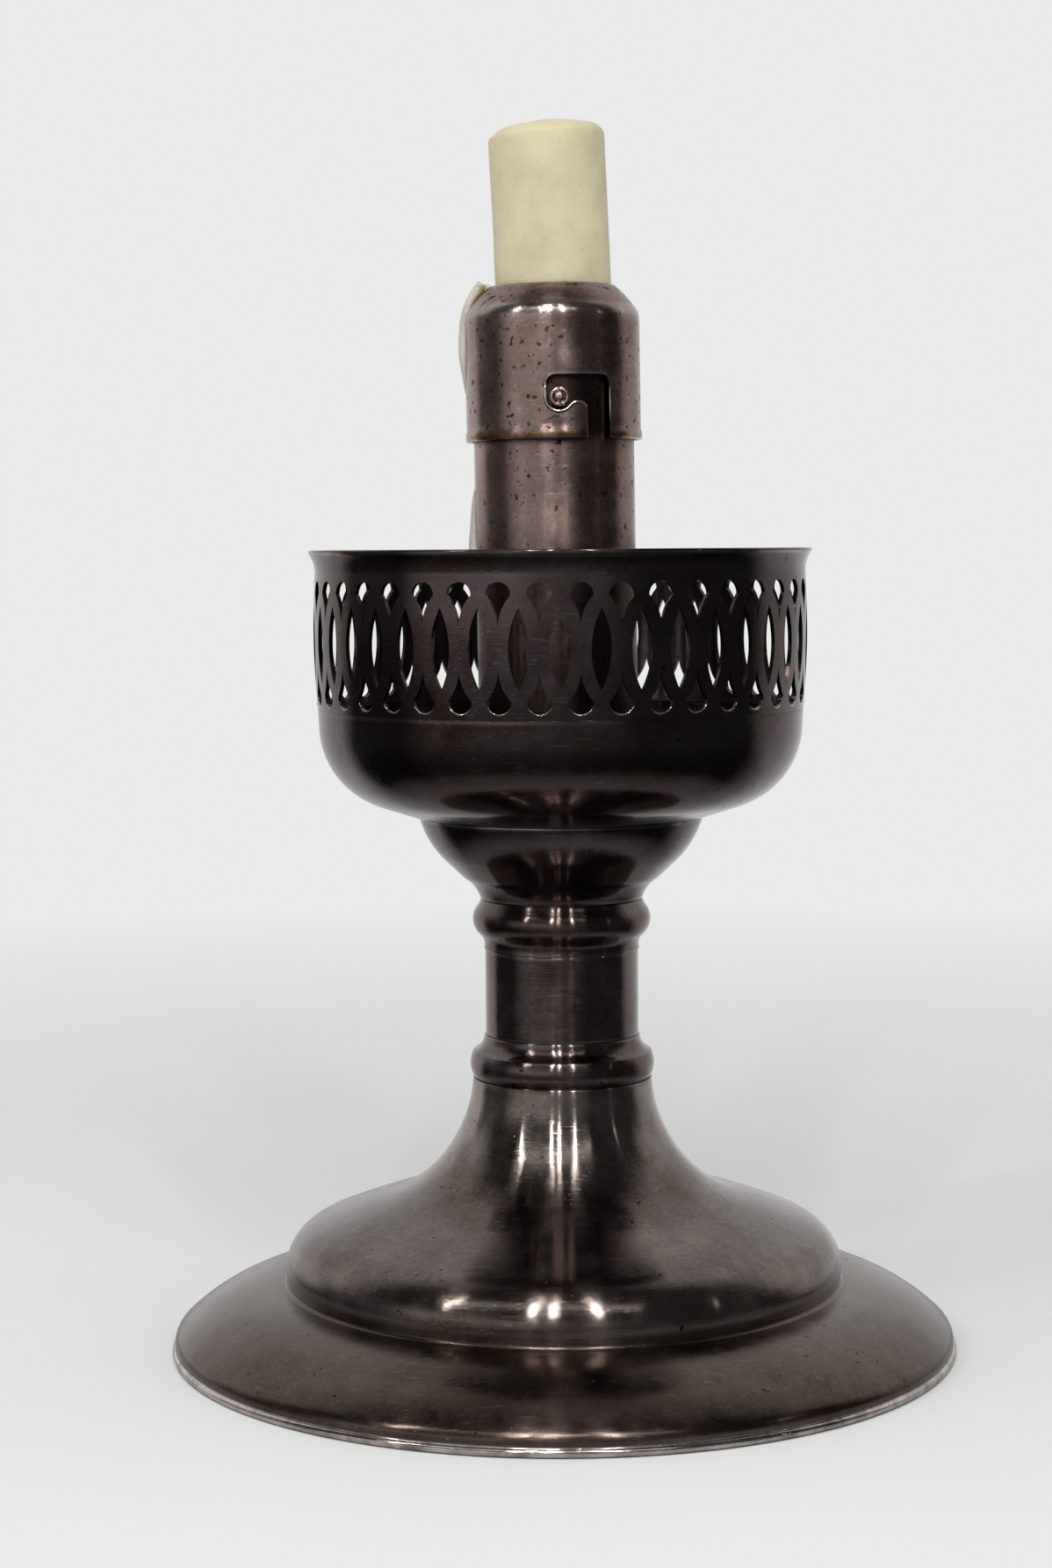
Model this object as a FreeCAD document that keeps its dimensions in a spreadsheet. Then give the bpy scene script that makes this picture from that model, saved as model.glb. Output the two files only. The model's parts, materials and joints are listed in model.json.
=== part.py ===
import FreeCAD, Part
import Sketcher
import math
import os
import re

# A candlestick on a stepped foot, with a pierced gallery bowl and a sprung candle tube.
# Lengths are millimetres, Z is up, and the origin is the middle of the foot on the table.
# X is to the right and -Y is the front. Heights of the stand are measured from the table.
# Heights of the tube and of all that it carries are measured from the foot of the tube.

# Driving sizes: name, value, meaning
SIZES = [
    ("felt_thickness", 0.9, "felt under the base plate"),
    ("felt_gap", 0.7, "gap between the felt and the turned-in rim"),
    ("plate_thickness", 0.8, "sheet disc that closes the foot"),
    ("plate_margin", 0.5, "gap round the base plate, inside the foot"),
    ("foot_wall", 0.8, "sheet of the foot"),
    ("rim_radius", 75.0, "widest part of the foot"),
    ("rim_roll", 1.4, "radius of the roll under the rim"),
    ("lip_width", 3.1, "how far the rim turns in underneath"),
    ("brow_inset", 1.3, "how far the rim has drawn in where the flange starts"),
    ("brow_height", 4.4, "height at which the flange starts"),
    ("flange_bend_inset", 7.0, "how far in from the rim the flange eases off"),
    ("flange_bend_height", 8.6, "its height"),
    ("flange_width", 22.0, "width of the flange, from the rim to the bottom of the step"),
    ("step_height", 12.8, "height at the bottom of the step"),
    ("step_swell", 0.25, "how far the step swells over its bottom"),
    ("step_rise", 2.7, "upright part of the step"),
    ("shoulder_inset", 4.8, "width of the dome's rounded shoulder"),
    ("dome_edge_height", 23.5, "height of the shoulder's inner end"),
    ("dome_bend_height", 28.6, "height where the dome turns up a little"),
    ("neck_foot_height", 31.6, "height of the crisp corner between dome and neck"),
    ("neck_top_radius", 17.1, "top of the neck"),
    ("neck_top_height", 52.0, "its height"),
    ("neck_foot_share", 0.3569, "place of the neck's foot between its top and the shoulder"),
    ("dome_bend_share", 0.29, "place of the dome's bend between neck and shoulder"),
    ("neck_bend_share", 0.2793, "how far out the neck's middle lies between its ends"),
    ("neck_middle_share", 0.4608, "how far up the neck's middle lies"),
    ("brow_share", 0.1035, "bulge of the rim's brow, sagitta over chord"),
    ("flange_edge_share", 0.03, "bulge of the flange near the rim"),
    ("flange_share", 0.055, "bulge of the flange"),
    ("roll_share", 0.2071, "bulge of a quarter round"),
    ("shoulder_share", 0.145, "bulge of the dome's shoulder"),
    ("dome_share", 0.012, "bulge of the dome's top"),
    ("dome_turn_share", 0.02, "hollow at the dome's upper end"),
    ("neck_share", 0.055, "hollow of the trumpet neck"),
    ("ballast_gap", 0.35, "gap between the ballast and the foot"),
    ("ballast_well_radius", 15.0, "well in the ballast round the nut"),
    ("rod_radius", 3.0, "tie rod"),
    ("rod_gap", 0.3, "clearance of the rod in its holes"),
    ("rod_head_radius", 6.0, "head of the tie rod"),
    ("rod_head_height", 2.4, "its height"),
    ("rod_end", 3.0, "thread that shows below the nut"),
    ("washer_radius", 9.0, "washer under the neck's crown"),
    ("washer_thickness", 1.4, "its thickness"),
    ("nut_radius", 6.4, "corner radius of the hexagon nut"),
    ("nut_height", 5.0, "its height"),
    ("spigot_gap", 0.1, "clearance of each collar's spigot in the stem"),
    ("spigot_height", 5.0, "length of each spigot"),
    ("low_collar_foot_radius", 16.8, "lower collar where it sits on the neck"),
    ("low_collar_radius", 17.35, "lower collar at its edge"),
    ("low_collar_swell", 4.3, "height of its swelling"),
    ("low_collar_edge", 0.8, "height of its edge"),
    ("low_collar_edge_inset", 0.3, "how far the top of the edge draws in"),
    ("low_collar_cove", 3.1, "height of the cove above the edge"),
    ("low_collar_share", 0.12, "bulge of the lower collar's swelling"),
    ("cove_share", 0.17, "hollow of the coves"),
    ("collar_shelf", 0.3, "how far a collar stands out at the stem"),
    ("stem_radius", 14.6, "round stem"),
    ("stem_wall", 1.2, "its wall"),
    ("stem_height", 16.4, "its height between the collars"),
    ("top_collar_cove", 2.9, "height of the cove under the bead"),
    ("top_collar_neck_radius", 15.7, "where the cove meets the bead"),
    ("bead_height", 5.6, "height of the bead"),
    ("bead_top_radius", 15.9, "where the bead ends"),
    ("bead_share", 0.21, "bulge of the bead"),
    ("waist_height", 1.1, "height of the waist over the bead"),
    ("waist_radius", 15.4, "waist under the bell"),
    ("bell_floor", 1.9, "floor of the bell"),
    ("bell_wall", 0.8, "its wall"),
    ("bell_throat_radius", 18.6, "bell where its hollow foot ends"),
    ("bell_throat_height", 4.1, "height of that place over the waist"),
    ("bell_flare_radius", 22.6, "bell where it starts to swell"),
    ("bell_flare_height", 7.9, "height of that place over the waist"),
    ("bell_radius", 27.0, "rim of the bell"),
    ("bell_height", 15.6, "height of the bell"),
    ("bell_hollow_share", 0.1, "hollow of the bell's foot"),
    ("bell_swell_share", 0.06, "bulge of the bell's upper half"),
    ("bowl_wall", 0.8, "sheet of the bowl"),
    ("bowl_slope_share", 0.3777, "place where its cone meets its round corner, from bell to wall"),
    ("bowl_slope_rise", 2.3, "rise of that place over the bowl's floor"),
    ("bowl_radius", 45.8, "wall of the bowl"),
    ("bowl_corner_rise", 17.7, "rise of the top of the round corner"),
    ("bowl_rise", 20.7, "rise of the bowl's upper edge"),
    ("bowl_corner_share", 0.168, "bulge of the bowl's corner"),
    ("gallery_step", 0.15, "how far the band stands out over the bowl"),
    ("gallery_wall", 0.8, "sheet of the band"),
    ("gallery_draw", 0.35, "how far the band is wider under its lip"),
    ("gallery_neck_rise", 25.6, "rise of the band to its lip"),
    ("gallery_lip_reach", 1.7, "how far the lip stands out over the bowl's wall"),
    ("gallery_lip_rise", 3.8, "rise of the flare to the lip"),
    ("gallery_lip_edge", 0.6, "thickness of the lip's edge"),
    ("gallery_bow_share", 0.02, "slight swelling of the band"),
    ("gallery_flare_share", 0.09, "hollow of the flare"),
    ("gallery_inside_share", 0.03, "swelling of the flare's inner side"),
    ("drop_radius", 2.3, "round end of each drop"),
    ("drop_length", 7.8, "length of each drop"),
    ("drop_flank_share", 0.09, "hollow of a drop's flanks"),
    ("low_drop_rise", 1.0, "rise of the lower drops over the band's foot"),
    ("high_drop_rise", 24.3, "rise of the top of the upper drops"),
    ("lens_rise", 5.2, "rise of the lens's lower point"),
    ("lens_length", 14.6, "length of the pointed lens"),
    ("lens_width", 3.7, "its width"),
    ("gallery_columns", 40, "columns of piercing round the band"),
    ("tube_seat_gap", 0.2, "height of the leaning tube over the bell's floor"),
    ("tube_lean_deg", 0.65, "lean of the tube to the left"),
    ("tube_radius", 15.1, "candle tube"),
    ("tube_wall", 0.8, "its wall"),
    ("tube_length", 105.6, "its length"),
    ("tube_side_gap", 0.45, "clearance round the tube in bell and bowl"),
    ("plug_rise", 4.2, "height of the plug in the tube"),
    ("plug_thickness", 2.6, "its thickness"),
    ("plug_gap", 0.05, "clearance of the plug in the tube"),
    ("plug_spigot_radius", 9.4, "spigot that centres the spring"),
    ("plug_spigot_height", 2.0, "its height"),
    ("cap_overlap", 21.2, "length of the tube inside the cap"),
    ("cap_radius", 16.42, "wall of the cap"),
    ("cap_wall", 0.7, "its sheet"),
    ("cap_flare", 0.18, "flare of its lower edge"),
    ("cap_flare_height", 1.4, "height of the flared edge"),
    ("cap_flare_ease", 0.6, "height over which the flare dies away"),
    ("cap_wall_height", 22.6, "height of the cap's straight wall"),
    ("cap_brow_inset", 1.02, "how far the shoulder's bend draws in"),
    ("cap_brow_rise", 2.4, "height of the shoulder's bend"),
    ("cap_height", 28.9, "height of the cap"),
    ("mouth_radius", 11.85, "mouth of the cap"),
    ("cap_brow_share", 0.1, "bulge of the shoulder's bend"),
    ("cap_shoulder_share", 0.03, "bulge of the shoulder"),
    ("slot_centre_deg", 17.4, "middle of the front slot, to the right of the front"),
    ("slot_reach", 3.8, "sideways place of notch and entry from the slot's middle"),
    ("slot_width", 4.7, "width of the entry"),
    ("slot_roof", 11.7, "height of the slot's upper edge"),
    ("slot_corner", 1.8, "rounding of the slot's upper corners"),
    ("notch_radius", 2.4, "rounded notch that holds the pin"),
    ("notch_height", 7.4, "height of its middle"),
    ("tongue_height", 6.7, "top of the tongue between notch and entry"),
    ("tongue_left", 1.93, "where the notch runs into the tongue"),
    ("tongue_left_drop", 0.8, "how far that place lies under the tongue's top"),
    ("tongue_crest", 0.35, "place of the tongue's top, left of the middle"),
    ("tongue_right_drop", 1.5, "rounding of the tongue's right side"),
    ("corner_share", 0.2071, "bulge of the slot's upper corners"),
    ("notch_share", 0.354, "bulge of the notch"),
    ("tongue_left_share", 0.113, "rounding of the tongue's left side"),
    ("tongue_right_share", 0.18, "rounding of the tongue's right side"),
    ("pin_height", 7.55, "height of the pins over the cap's lower edge"),
    ("pin_shank_radius", 0.7, "shank of each pin"),
    ("pin_head_radius", 1.8, "head of each pin"),
    ("pin_head_gap", 0.15, "clearance between head and cap"),
    ("pin_head_thickness", 0.35, "straight edge of the head"),
    ("pin_head_dome", 0.5, "rise of the head's dome"),
    ("pin_count", 2, "pins and slots round the cap"),
    ("follower_gap", 0.4, "clearance of the follower in the tube"),
    ("follower_stop_drop", 2.0, "follower under the inside of the cap's mouth"),
    ("follower_wall", 0.8, "its sheet"),
    ("follower_skirt", 9.0, "length of its skirt"),
    ("follower_chamfer", 1.0, "chamfer of its upper edge"),
    ("follower_recess_radius", 12.0, "recess that holds the candle"),
    ("follower_recess_depth", 2.5, "its depth"),
    ("spring_wire", 1.2, "wire of the spring"),
    ("spring_radius", 11.2, "middle of the wire from the axis"),
    ("spring_turns", 13, "whole turns of the spring"),
    ("spring_end_gap", 0.1, "clearance of the spring at its two ends"),
    ("candle_radius", 10.95, "candle"),
    ("candle_length", 34.7, "stub from its foot to its rim"),
    ("candle_lean_deg", 1.85, "lean of the candle to the left of the tube"),
    ("candle_foot_shift", 0.55, "foot of the candle, right of the tube's axis"),
    ("candle_foot_gap", 0.5, "height of the leaning foot over the follower"),
    ("candle_rim", 1.6, "width of the rim round the pool"),
    ("candle_pool_depth", 2.2, "depth of the pool"),
    ("wick_radius", 0.75, "wick"),
    ("wick_height", 1.9, "wick over the pool"),
    ("wick_bend", 0.7, "how far the burnt tip bends over"),
    ("wick_gap", 0.1, "wick over the wax"),
    ("cap_run_bottom", 7.6, "lower end of the wax run on the cap"),
    ("cap_run_proud", 1.35, "how far it stands out at most"),
    ("cap_run_half_width", 2.6, "half of its width at most"),
    ("mouth_bead_rise", 3.6, "height of the wax bead at the mouth"),
    ("mouth_bead_width", 1.5, "its width"),
    ("mouth_bead_half_deg", 30.0, "half of the angle that it covers"),
    ("shoulder_run_thickness", 1.2, "wax on the cap's shoulder"),
    ("shoulder_run_half_deg", 8.0, "half of the angle that it covers"),
    ("tube_run_gap", 8.1, "start of the wax run on the tube, below the cap"),
    ("tube_run_length", 19.3, "its length"),
    ("tube_run_proud", 1.9, "how far it stands out at most"),
    ("tube_run_half_width", 2.8, "half of its width at most"),
    ("cut_overrun", 2.0, "how far a cut runs past the surface"),
]

# Sections of the wax runs: share of the way down, share of the proudness, share of the width
CAP_RUN_SHARES = [(0.0, 0.35, 0.45), (0.16, 0.75, 0.8), (0.3, 0.7, 0.75),
                  (0.45, 1.0, 1.0), (0.62, 0.85, 0.9), (0.85, 0.5, 0.75), (1.0, 0.12, 0.25)]
TUBE_RUN_SHARES = [(0.0, 0.12, 0.2), (0.18, 0.55, 0.55), (0.45, 0.75, 0.75),
                   (0.72, 0.9, 0.9), (0.92, 1.0, 1.0), (1.0, 0.5, 0.6)]

NAMES = {row[0] for row in SIZES}
WORD = re.compile(r"[a-z][a-z0-9_]*")

doc = FreeCAD.newDocument("candlestick")
sheet = doc.addObject("Spreadsheet::Sheet", "sizes")
for row, (alias, amount, meaning) in enumerate(SIZES, start=1):
    sheet.set(f"A{row}", alias)
    sheet.set(f"B{row}", str(amount))
    sheet.setAlias(f"B{row}", alias)
    sheet.set(f"C{row}", meaning)
doc.recompute()

SUB_PARTS = []


def bound(text):
    """The text as an expression, with each size's name led by the sheet's name"""
    return WORD.sub(lambda word: ("sizes." if word.group() in NAMES else "") + word.group(), str(text))


def value(text):
    """What a text of sizes comes to"""
    return float(sheet.evalExpression(str(text)))


def record(name, piece):
    """Give a finished sub-part its name"""
    piece.Label = name
    SUB_PARTS.append(piece)
    return piece


def turned_arc(start, finish, share):
    """The arc from start to finish that swells to its right by a share of its chord"""
    across = (finish[0] - start[0], finish[1] - start[1])
    middle = ((start[0] + finish[0]) / 2, (start[1] + finish[1]) / 2)
    crest = (middle[0] + across[1] * share, middle[1] - across[0] * share)
    points = [FreeCAD.Vector(x, y, 0) for x, y in (start, crest, finish)]
    return Part.Arc(*points)


# An outline is a closed list of corners, walked with the material on the left. A corner has its
# two sizes, and, where the edge that ends there is an arc, that edge's bulge: its sagitta over
# its chord, positive where it swells outwards.
def outline_edges(corners):
    """Curves of a closed outline, each with its bulge or nothing"""
    edges = []
    for index, corner in enumerate(corners):
        finish = corners[(index + 1) % len(corners)]
        ends = [(value(place[0]), value(place[1])) for place in (corner, finish)]
        bulge = finish[2] if len(finish) > 2 else None
        if bulge is None:
            curve = Part.LineSegment(*[FreeCAD.Vector(x, y, 0) for x, y in ends])
        else:
            curve = turned_arc(ends[0], ends[1], value(bulge))
        edges.append((curve, bulge))
    return edges


def bind(sketch, kind, parts, text):
    """Add a constraint and tie its value to the sheet"""
    index = sketch.addConstraint(Sketcher.Constraint(kind, *parts, value(text)))
    sketch.setExpression(f"Constraints[{index}]", bound(text))


def draw(sketch, corners):
    """Draw a closed outline in a sketch, each corner and each arc bound to the sheet"""
    first = sketch.GeometryCount
    ends = []
    for index, (curve, bulge) in enumerate(outline_edges(corners)):
        geometry = sketch.addGeometry(curve, False)
        ends.append((geometry, (2, 1) if bulge and value(bulge) < 0 else (1, 2)))
    for index, (geometry, (start, finish)) in enumerate(ends):
        following, (opening, closing) = ends[(index + 1) % len(ends)]
        sketch.addConstraint(Sketcher.Constraint("Coincident", geometry, finish, following, opening))
        for kind, axis, text in (("DistanceX", -2, corners[index][0]), ("DistanceY", -1, corners[index][1])):
            if str(text) == "0":
                sketch.addConstraint(Sketcher.Constraint("PointOnObject", geometry, start, axis))
            else:
                bind(sketch, kind, (-1, 1, geometry, start), text)
        arrival = corners[(index + 1) % len(corners)]
        if len(arrival) > 2:
            bulge = arrival[2]
            across, up = (f"({arrival[axis]} - ({corners[index][axis]}))^2" for axis in (0, 1))
            chord = f"sqrt({across} + {up})"
            bind(sketch, "Radius", (geometry,), f"{chord} * (1 + 4 * ({bulge})^2) / (8 * abs({bulge}))")
    return first


def new_body(name):
    """A body and a sketch on its upright front plane"""
    body = doc.addObject("PartDesign::Body", name)
    return record(name, body)


def plane_sketch(body, name, role="XZ_Plane"):
    """A sketch on one of the body's own origin planes"""
    sketch = body.newObject("Sketcher::SketchObject", name)
    plane = [feature for feature in body.Origin.OriginFeatures if feature.Role == role][0]
    sketch.AttachmentSupport = [(plane, "")]
    sketch.MapMode = "FlatFace"
    return sketch


def turned(name, corners):
    """A turned or spun piece: its half section, turned about the upright axis"""
    body = new_body(name)
    sketch = plane_sketch(body, name + "_section")
    draw(sketch, corners)
    turning = body.newObject("PartDesign::Revolution", name + "_turning")
    turning.Profile = sketch
    turning.ReferenceAxis = (sketch, ["V_Axis"])
    turning.Angle = 360.0
    body.Tip = turning
    return body


def cut_through(body, name, outlines, count, start, reach):
    """Cut outlines forwards through a wall, from a start over a reach, and repeat that round the axis"""
    sketch = plane_sketch(body, name + "_outline")
    sketch.setExpression("AttachmentOffset.Base.z", bound(start))
    for corners in outlines:
        draw(sketch, corners)
    pocket = body.newObject("PartDesign::Pocket", name)
    pocket.Profile = sketch
    pocket.Type = "Length"
    pocket.setExpression("Length", bound(reach))
    pocket.Reversed = True
    body.Tip = pocket
    doc.recompute()
    around = body.newObject("PartDesign::PolarPattern", name + "_round")
    around.Originals = [pocket]
    around.Axis = ([feature for feature in body.Origin.OriginFeatures if feature.Role == "Z_Axis"][0], [""])
    around.Angle = 360.0
    around.setExpression("Occurrences", bound(count))
    body.Tip = around
    return pocket


def heading(start, finish, bulge, at_end):
    """Direction of an edge at one of its ends"""
    angle = math.atan2(finish[1] - start[1], finish[0] - start[0])
    half_turn = 2 * math.atan(2 * bulge)
    return angle + (half_turn if at_end else -half_turn)


def sheet_outline(line, wall, ends):
    """The closed section of a sheet: a line of corners, and the same line one wall to its left"""
    places = [(value(corner[0]), value(corner[1])) for corner in line]
    bulges = [value(corner[2]) if len(corner) > 2 else 0.0 for corner in line]
    inner = []
    for index, corner in enumerate(line):
        normals = []
        if index > 0:
            angle = heading(places[index - 1], places[index], bulges[index], True)
            normals.append((-math.sin(angle), math.cos(angle)))
        if index < len(line) - 1:
            angle = heading(places[index], places[index + 1], bulges[index + 1], False)
            normals.append((-math.sin(angle), math.cos(angle)))
        if len(normals) == 2:
            (a_x, a_y), (b_x, b_y) = normals
            stretch = 1 + a_x * b_x + a_y * b_y
            step = ((a_x + b_x) / stretch, (a_y + b_y) / stretch)
        else:
            a_x, a_y = normals[0]
            cut = ends[0] if index == 0 else ends[1]
            step = (1 / a_x, 0.0) if cut == "level" else (0.0, 1 / a_y)
        texts = []
        for text, share in zip(corner, step):
            texts.append(f"{text} + {wall} * ({share:.4f})" if abs(share) > 0.0001 else text)
        inner.append(texts)
    closed = [tuple(corner) for corner in line]
    for index in range(len(line) - 1, -1, -1):
        bulge = line[index + 1][2] if index < len(line) - 1 and len(line[index + 1]) > 2 else None
        closed.append(tuple(inner[index]) + (() if bulge is None else (f"-({bulge})",)))
    return closed


def solid_of(corners):
    """The solid that a half section makes when it turns about the upright axis"""
    edges = [curve.toShape() for curve, bulge in outline_edges(corners)]
    face = Part.Face(Part.Wire(edges))
    face.rotate(FreeCAD.Vector(0, 0, 0), FreeCAD.Vector(1, 0, 0), 90)
    return face.revolve(FreeCAD.Vector(0, 0, 0), FreeCAD.Vector(0, 0, 1), 360)


def shaped(name, shape):
    """A piece whose shape is worked out here from the sheet's sizes"""
    piece = doc.addObject("Part::Feature", name)
    piece.Shape = shape
    return record(name, piece)


# Foot, from the turned-in rim up the flange, step, dome and trumpet neck to the flat crown
LIP = "(rim_radius - lip_width)"
FLANGE_BEND = "(rim_radius - flange_bend_inset)"
STEP = "(rim_radius - flange_width)"
DOME_EDGE = f"({STEP} - shoulder_inset)"
NECK_FOOT = f"(neck_top_radius + ({DOME_EDGE} - neck_top_radius) * neck_foot_share)"
DOME_BEND = f"({NECK_FOOT} + ({DOME_EDGE} - {NECK_FOOT}) * dome_bend_share)"
NECK_BEND = f"(neck_top_radius + ({NECK_FOOT} - neck_top_radius) * neck_bend_share)"
NECK_MIDDLE = "(neck_foot_height + (neck_top_height - neck_foot_height) * neck_middle_share)"

foot_line = [
    (LIP, "0"),
    ("rim_radius - rim_roll", "0"),
    ("rim_radius", "rim_roll", "roll_share"),
    ("rim_radius - brow_inset", "brow_height", "brow_share"),
    (FLANGE_BEND, "flange_bend_height", "flange_edge_share"),
    (STEP, "step_height", "flange_share"),
    (STEP + " + step_swell", "step_height + step_rise"),
    (DOME_EDGE, "dome_edge_height", "shoulder_share"),
    (DOME_BEND, "dome_bend_height", "dome_share"),
    (NECK_FOOT, "neck_foot_height", "-dome_turn_share"),
    (NECK_BEND, NECK_MIDDLE, "-neck_share"),
    ("neck_top_radius", "neck_top_height", "-neck_share"),
    ("rod_radius + rod_gap", "neck_top_height"),
]
turned("foot_shell", sheet_outline(foot_line, "foot_wall", ("upright", "upright")))

turned("felt_pad", [
    ("0", "0"),
    (LIP + " - felt_gap", "0"),
    (LIP + " - felt_gap", "felt_thickness"),
    ("0", "felt_thickness"),
])

PLATE_TOP = "felt_thickness + plate_thickness"
turned("base_plate", [
    ("0", "felt_thickness"),
    ("rim_radius - foot_wall - plate_margin", "felt_thickness"),
    ("rim_radius - foot_wall - plate_margin", PLATE_TOP),
    ("0", PLATE_TOP),
])

INSET = "foot_wall - ballast_gap"
turned("foot_ballast", [
    ("ballast_well_radius", PLATE_TOP),
    (f"{FLANGE_BEND} - {INSET}", PLATE_TOP),
    (f"{FLANGE_BEND} - {INSET}", f"flange_bend_height - {INSET} * 2"),
    (f"{STEP} - {INSET}", f"step_height - {INSET} * 2"),
    (f"{STEP} - {INSET}", "step_height + step_rise"),
    (f"{DOME_EDGE} - {INSET}", f"dome_edge_height - {INSET}", "shoulder_share"),
    (f"{NECK_FOOT} - {INSET}", f"dome_bend_height - {INSET} * 2"),
    ("ballast_well_radius", f"dome_bend_height - {INSET} * 2"),
])

# Stem, between two turned collars whose spigots centre it
BORE = "stem_radius - stem_wall - spigot_gap"
ROD_HOLE = "rod_radius + rod_gap"
LOW_COLLAR_TOP = "neck_top_height + low_collar_swell + low_collar_edge + low_collar_cove"
STEM_TOP = LOW_COLLAR_TOP + " + stem_height"
BEAD_FOOT = STEM_TOP + " + top_collar_cove"
BELL_FOOT = BEAD_FOOT + " + bead_height + waist_height"
BELL_FLOOR = BELL_FOOT + " + bell_floor"
BOWL_FLOOR = BELL_FOOT + " + bell_height"
BOWL_TOP = BOWL_FLOOR + " + bowl_rise"
TUBE_FOOT = BELL_FLOOR + " + tube_seat_gap"

turned("lower_collar", [
    (ROD_HOLE, "neck_top_height"),
    ("low_collar_foot_radius", "neck_top_height"),
    ("low_collar_radius", "neck_top_height + low_collar_swell", "low_collar_share"),
    ("low_collar_radius - low_collar_edge_inset", "neck_top_height + low_collar_swell + low_collar_edge"),
    ("stem_radius + collar_shelf", LOW_COLLAR_TOP, "-cove_share"),
    (BORE, LOW_COLLAR_TOP),
    (BORE, LOW_COLLAR_TOP + " + spigot_height"),
    (ROD_HOLE, LOW_COLLAR_TOP + " + spigot_height"),
])

turned("stem_tube", [
    ("stem_radius - stem_wall", LOW_COLLAR_TOP),
    ("stem_radius", LOW_COLLAR_TOP),
    ("stem_radius", STEM_TOP),
    ("stem_radius - stem_wall", STEM_TOP),
])

turned("upper_collar", [
    (ROD_HOLE, STEM_TOP + " - spigot_height"),
    (BORE, STEM_TOP + " - spigot_height"),
    (BORE, STEM_TOP),
    ("stem_radius + collar_shelf", STEM_TOP),
    ("top_collar_neck_radius", BEAD_FOOT, "-cove_share"),
    ("bead_top_radius", BEAD_FOOT + " + bead_height", "bead_share"),
    ("waist_radius", BELL_FOOT),
    (ROD_HOLE, BELL_FOOT),
])

# Bell, turned thick at its floor, with a socket that the candle tube stands in
SOCKET = "tube_radius + tube_side_gap"
BELL_FLARE = BELL_FOOT + " + bell_flare_height"
turned("bell", [
    (ROD_HOLE, BELL_FOOT),
    ("waist_radius", BELL_FOOT),
    ("bell_throat_radius", BELL_FOOT + " + bell_throat_height", "-bell_hollow_share"),
    ("bell_flare_radius", BELL_FLARE),
    ("bell_radius", BOWL_FLOOR, "bell_swell_share"),
    ("bell_radius - bell_wall", BOWL_FLOOR),
    ("bell_flare_radius - bell_wall", BELL_FLARE + " + bell_wall / 2", "-bell_swell_share"),
    (SOCKET, BELL_FOOT + " + bell_throat_height"),
    (SOCKET, BELL_FLOOR),
    (ROD_HOLE, BELL_FLOOR),
])

BOWL_SLOPE = "bell_radius + (bowl_radius - bell_radius) * bowl_slope_share"
bowl_line = [
    (SOCKET, BOWL_FLOOR),
    ("bell_radius", BOWL_FLOOR),
    (BOWL_SLOPE, BOWL_FLOOR + " + bowl_slope_rise"),
    ("bowl_radius", BOWL_FLOOR + " + bowl_corner_rise", "bowl_corner_share"),
    ("bowl_radius", BOWL_TOP),
]
turned("bowl", sheet_outline(bowl_line, "bowl_wall", ("upright", "level")))

# Gallery: a band on the bowl's edge, flared to a flat lip, with drops above and below and a
# pointed lens half way between two columns of drops
BAND_RADIUS = "bowl_radius + gallery_step"
BAND_NECK = BOWL_TOP + " + gallery_neck_rise"
BAND_TOP = BAND_NECK + " + gallery_lip_rise + gallery_lip_edge"
LIP_EDGE = "bowl_radius + gallery_lip_reach"
gallery = turned("gallery_band", [
    (BAND_RADIUS, BOWL_TOP),
    (BAND_RADIUS + " + gallery_draw", BAND_NECK, "gallery_bow_share"),
    (LIP_EDGE, BAND_NECK + " + gallery_lip_rise", "-gallery_flare_share"),
    (LIP_EDGE, BAND_TOP),
    (LIP_EDGE + " - gallery_wall * 2", BAND_TOP),
    (BAND_RADIUS + " + gallery_draw - gallery_wall", BAND_NECK, "gallery_inside_share"),
    (BAND_RADIUS + " - gallery_wall", BOWL_TOP, "-gallery_bow_share"),
])


def drop(side_x, round_end, sign):
    """A drop with its round end at a height, and its point above (1) or below (-1) that"""
    middle = f"{round_end} + drop_radius * {sign}"
    point = f"{round_end} + drop_length * {sign}"
    left, right = f"{side_x} - drop_radius", f"{side_x} + drop_radius"
    if sign > 0:
        return [(left, middle), (side_x, round_end, "roll_share"), (right, middle, "roll_share"),
                (side_x, point, "-drop_flank_share"), (left, middle, "-drop_flank_share")]
    return [(right, middle), (side_x, round_end, "roll_share"), (left, middle, "roll_share"),
            (side_x, point, "-drop_flank_share"), (right, middle, "-drop_flank_share")]


def closed_drop(corners):
    """The drop without its doubled last corner, whose bulge moves to the first corner"""
    return [corners[0] + (corners[-1][2],)] + corners[1:-1]


HALF_PITCH_X = "bowl_radius * sin(180 / gallery_columns)"
LENS_LOW = BOWL_TOP + " + lens_rise"
lens_share = "lens_width / 2 / lens_length"
cut_through(gallery, "piercing", [
    closed_drop(drop(HALF_PITCH_X, BOWL_TOP + " + low_drop_rise", 1)),
    closed_drop(drop(HALF_PITCH_X, BOWL_TOP + " + high_drop_rise", -1)),
    [("0", LENS_LOW, lens_share), ("0", LENS_LOW + " + lens_length", lens_share)],
], "gallery_columns", "bowl_radius - gallery_wall - cut_overrun / 2", "gallery_wall + cut_overrun * 2")

# Tie rod through stand and stem, with washer and nut under the crown
turned("tie_rod", [
    ("0", "neck_top_height - foot_wall - washer_thickness - nut_height - rod_end"),
    ("rod_radius", "neck_top_height - foot_wall - washer_thickness - nut_height - rod_end"),
    ("rod_radius", BELL_FLOOR),
    ("rod_head_radius", BELL_FLOOR),
    ("rod_head_radius", BELL_FLOOR + " + rod_head_height"),
    ("0", BELL_FLOOR + " + rod_head_height"),
])

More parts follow.
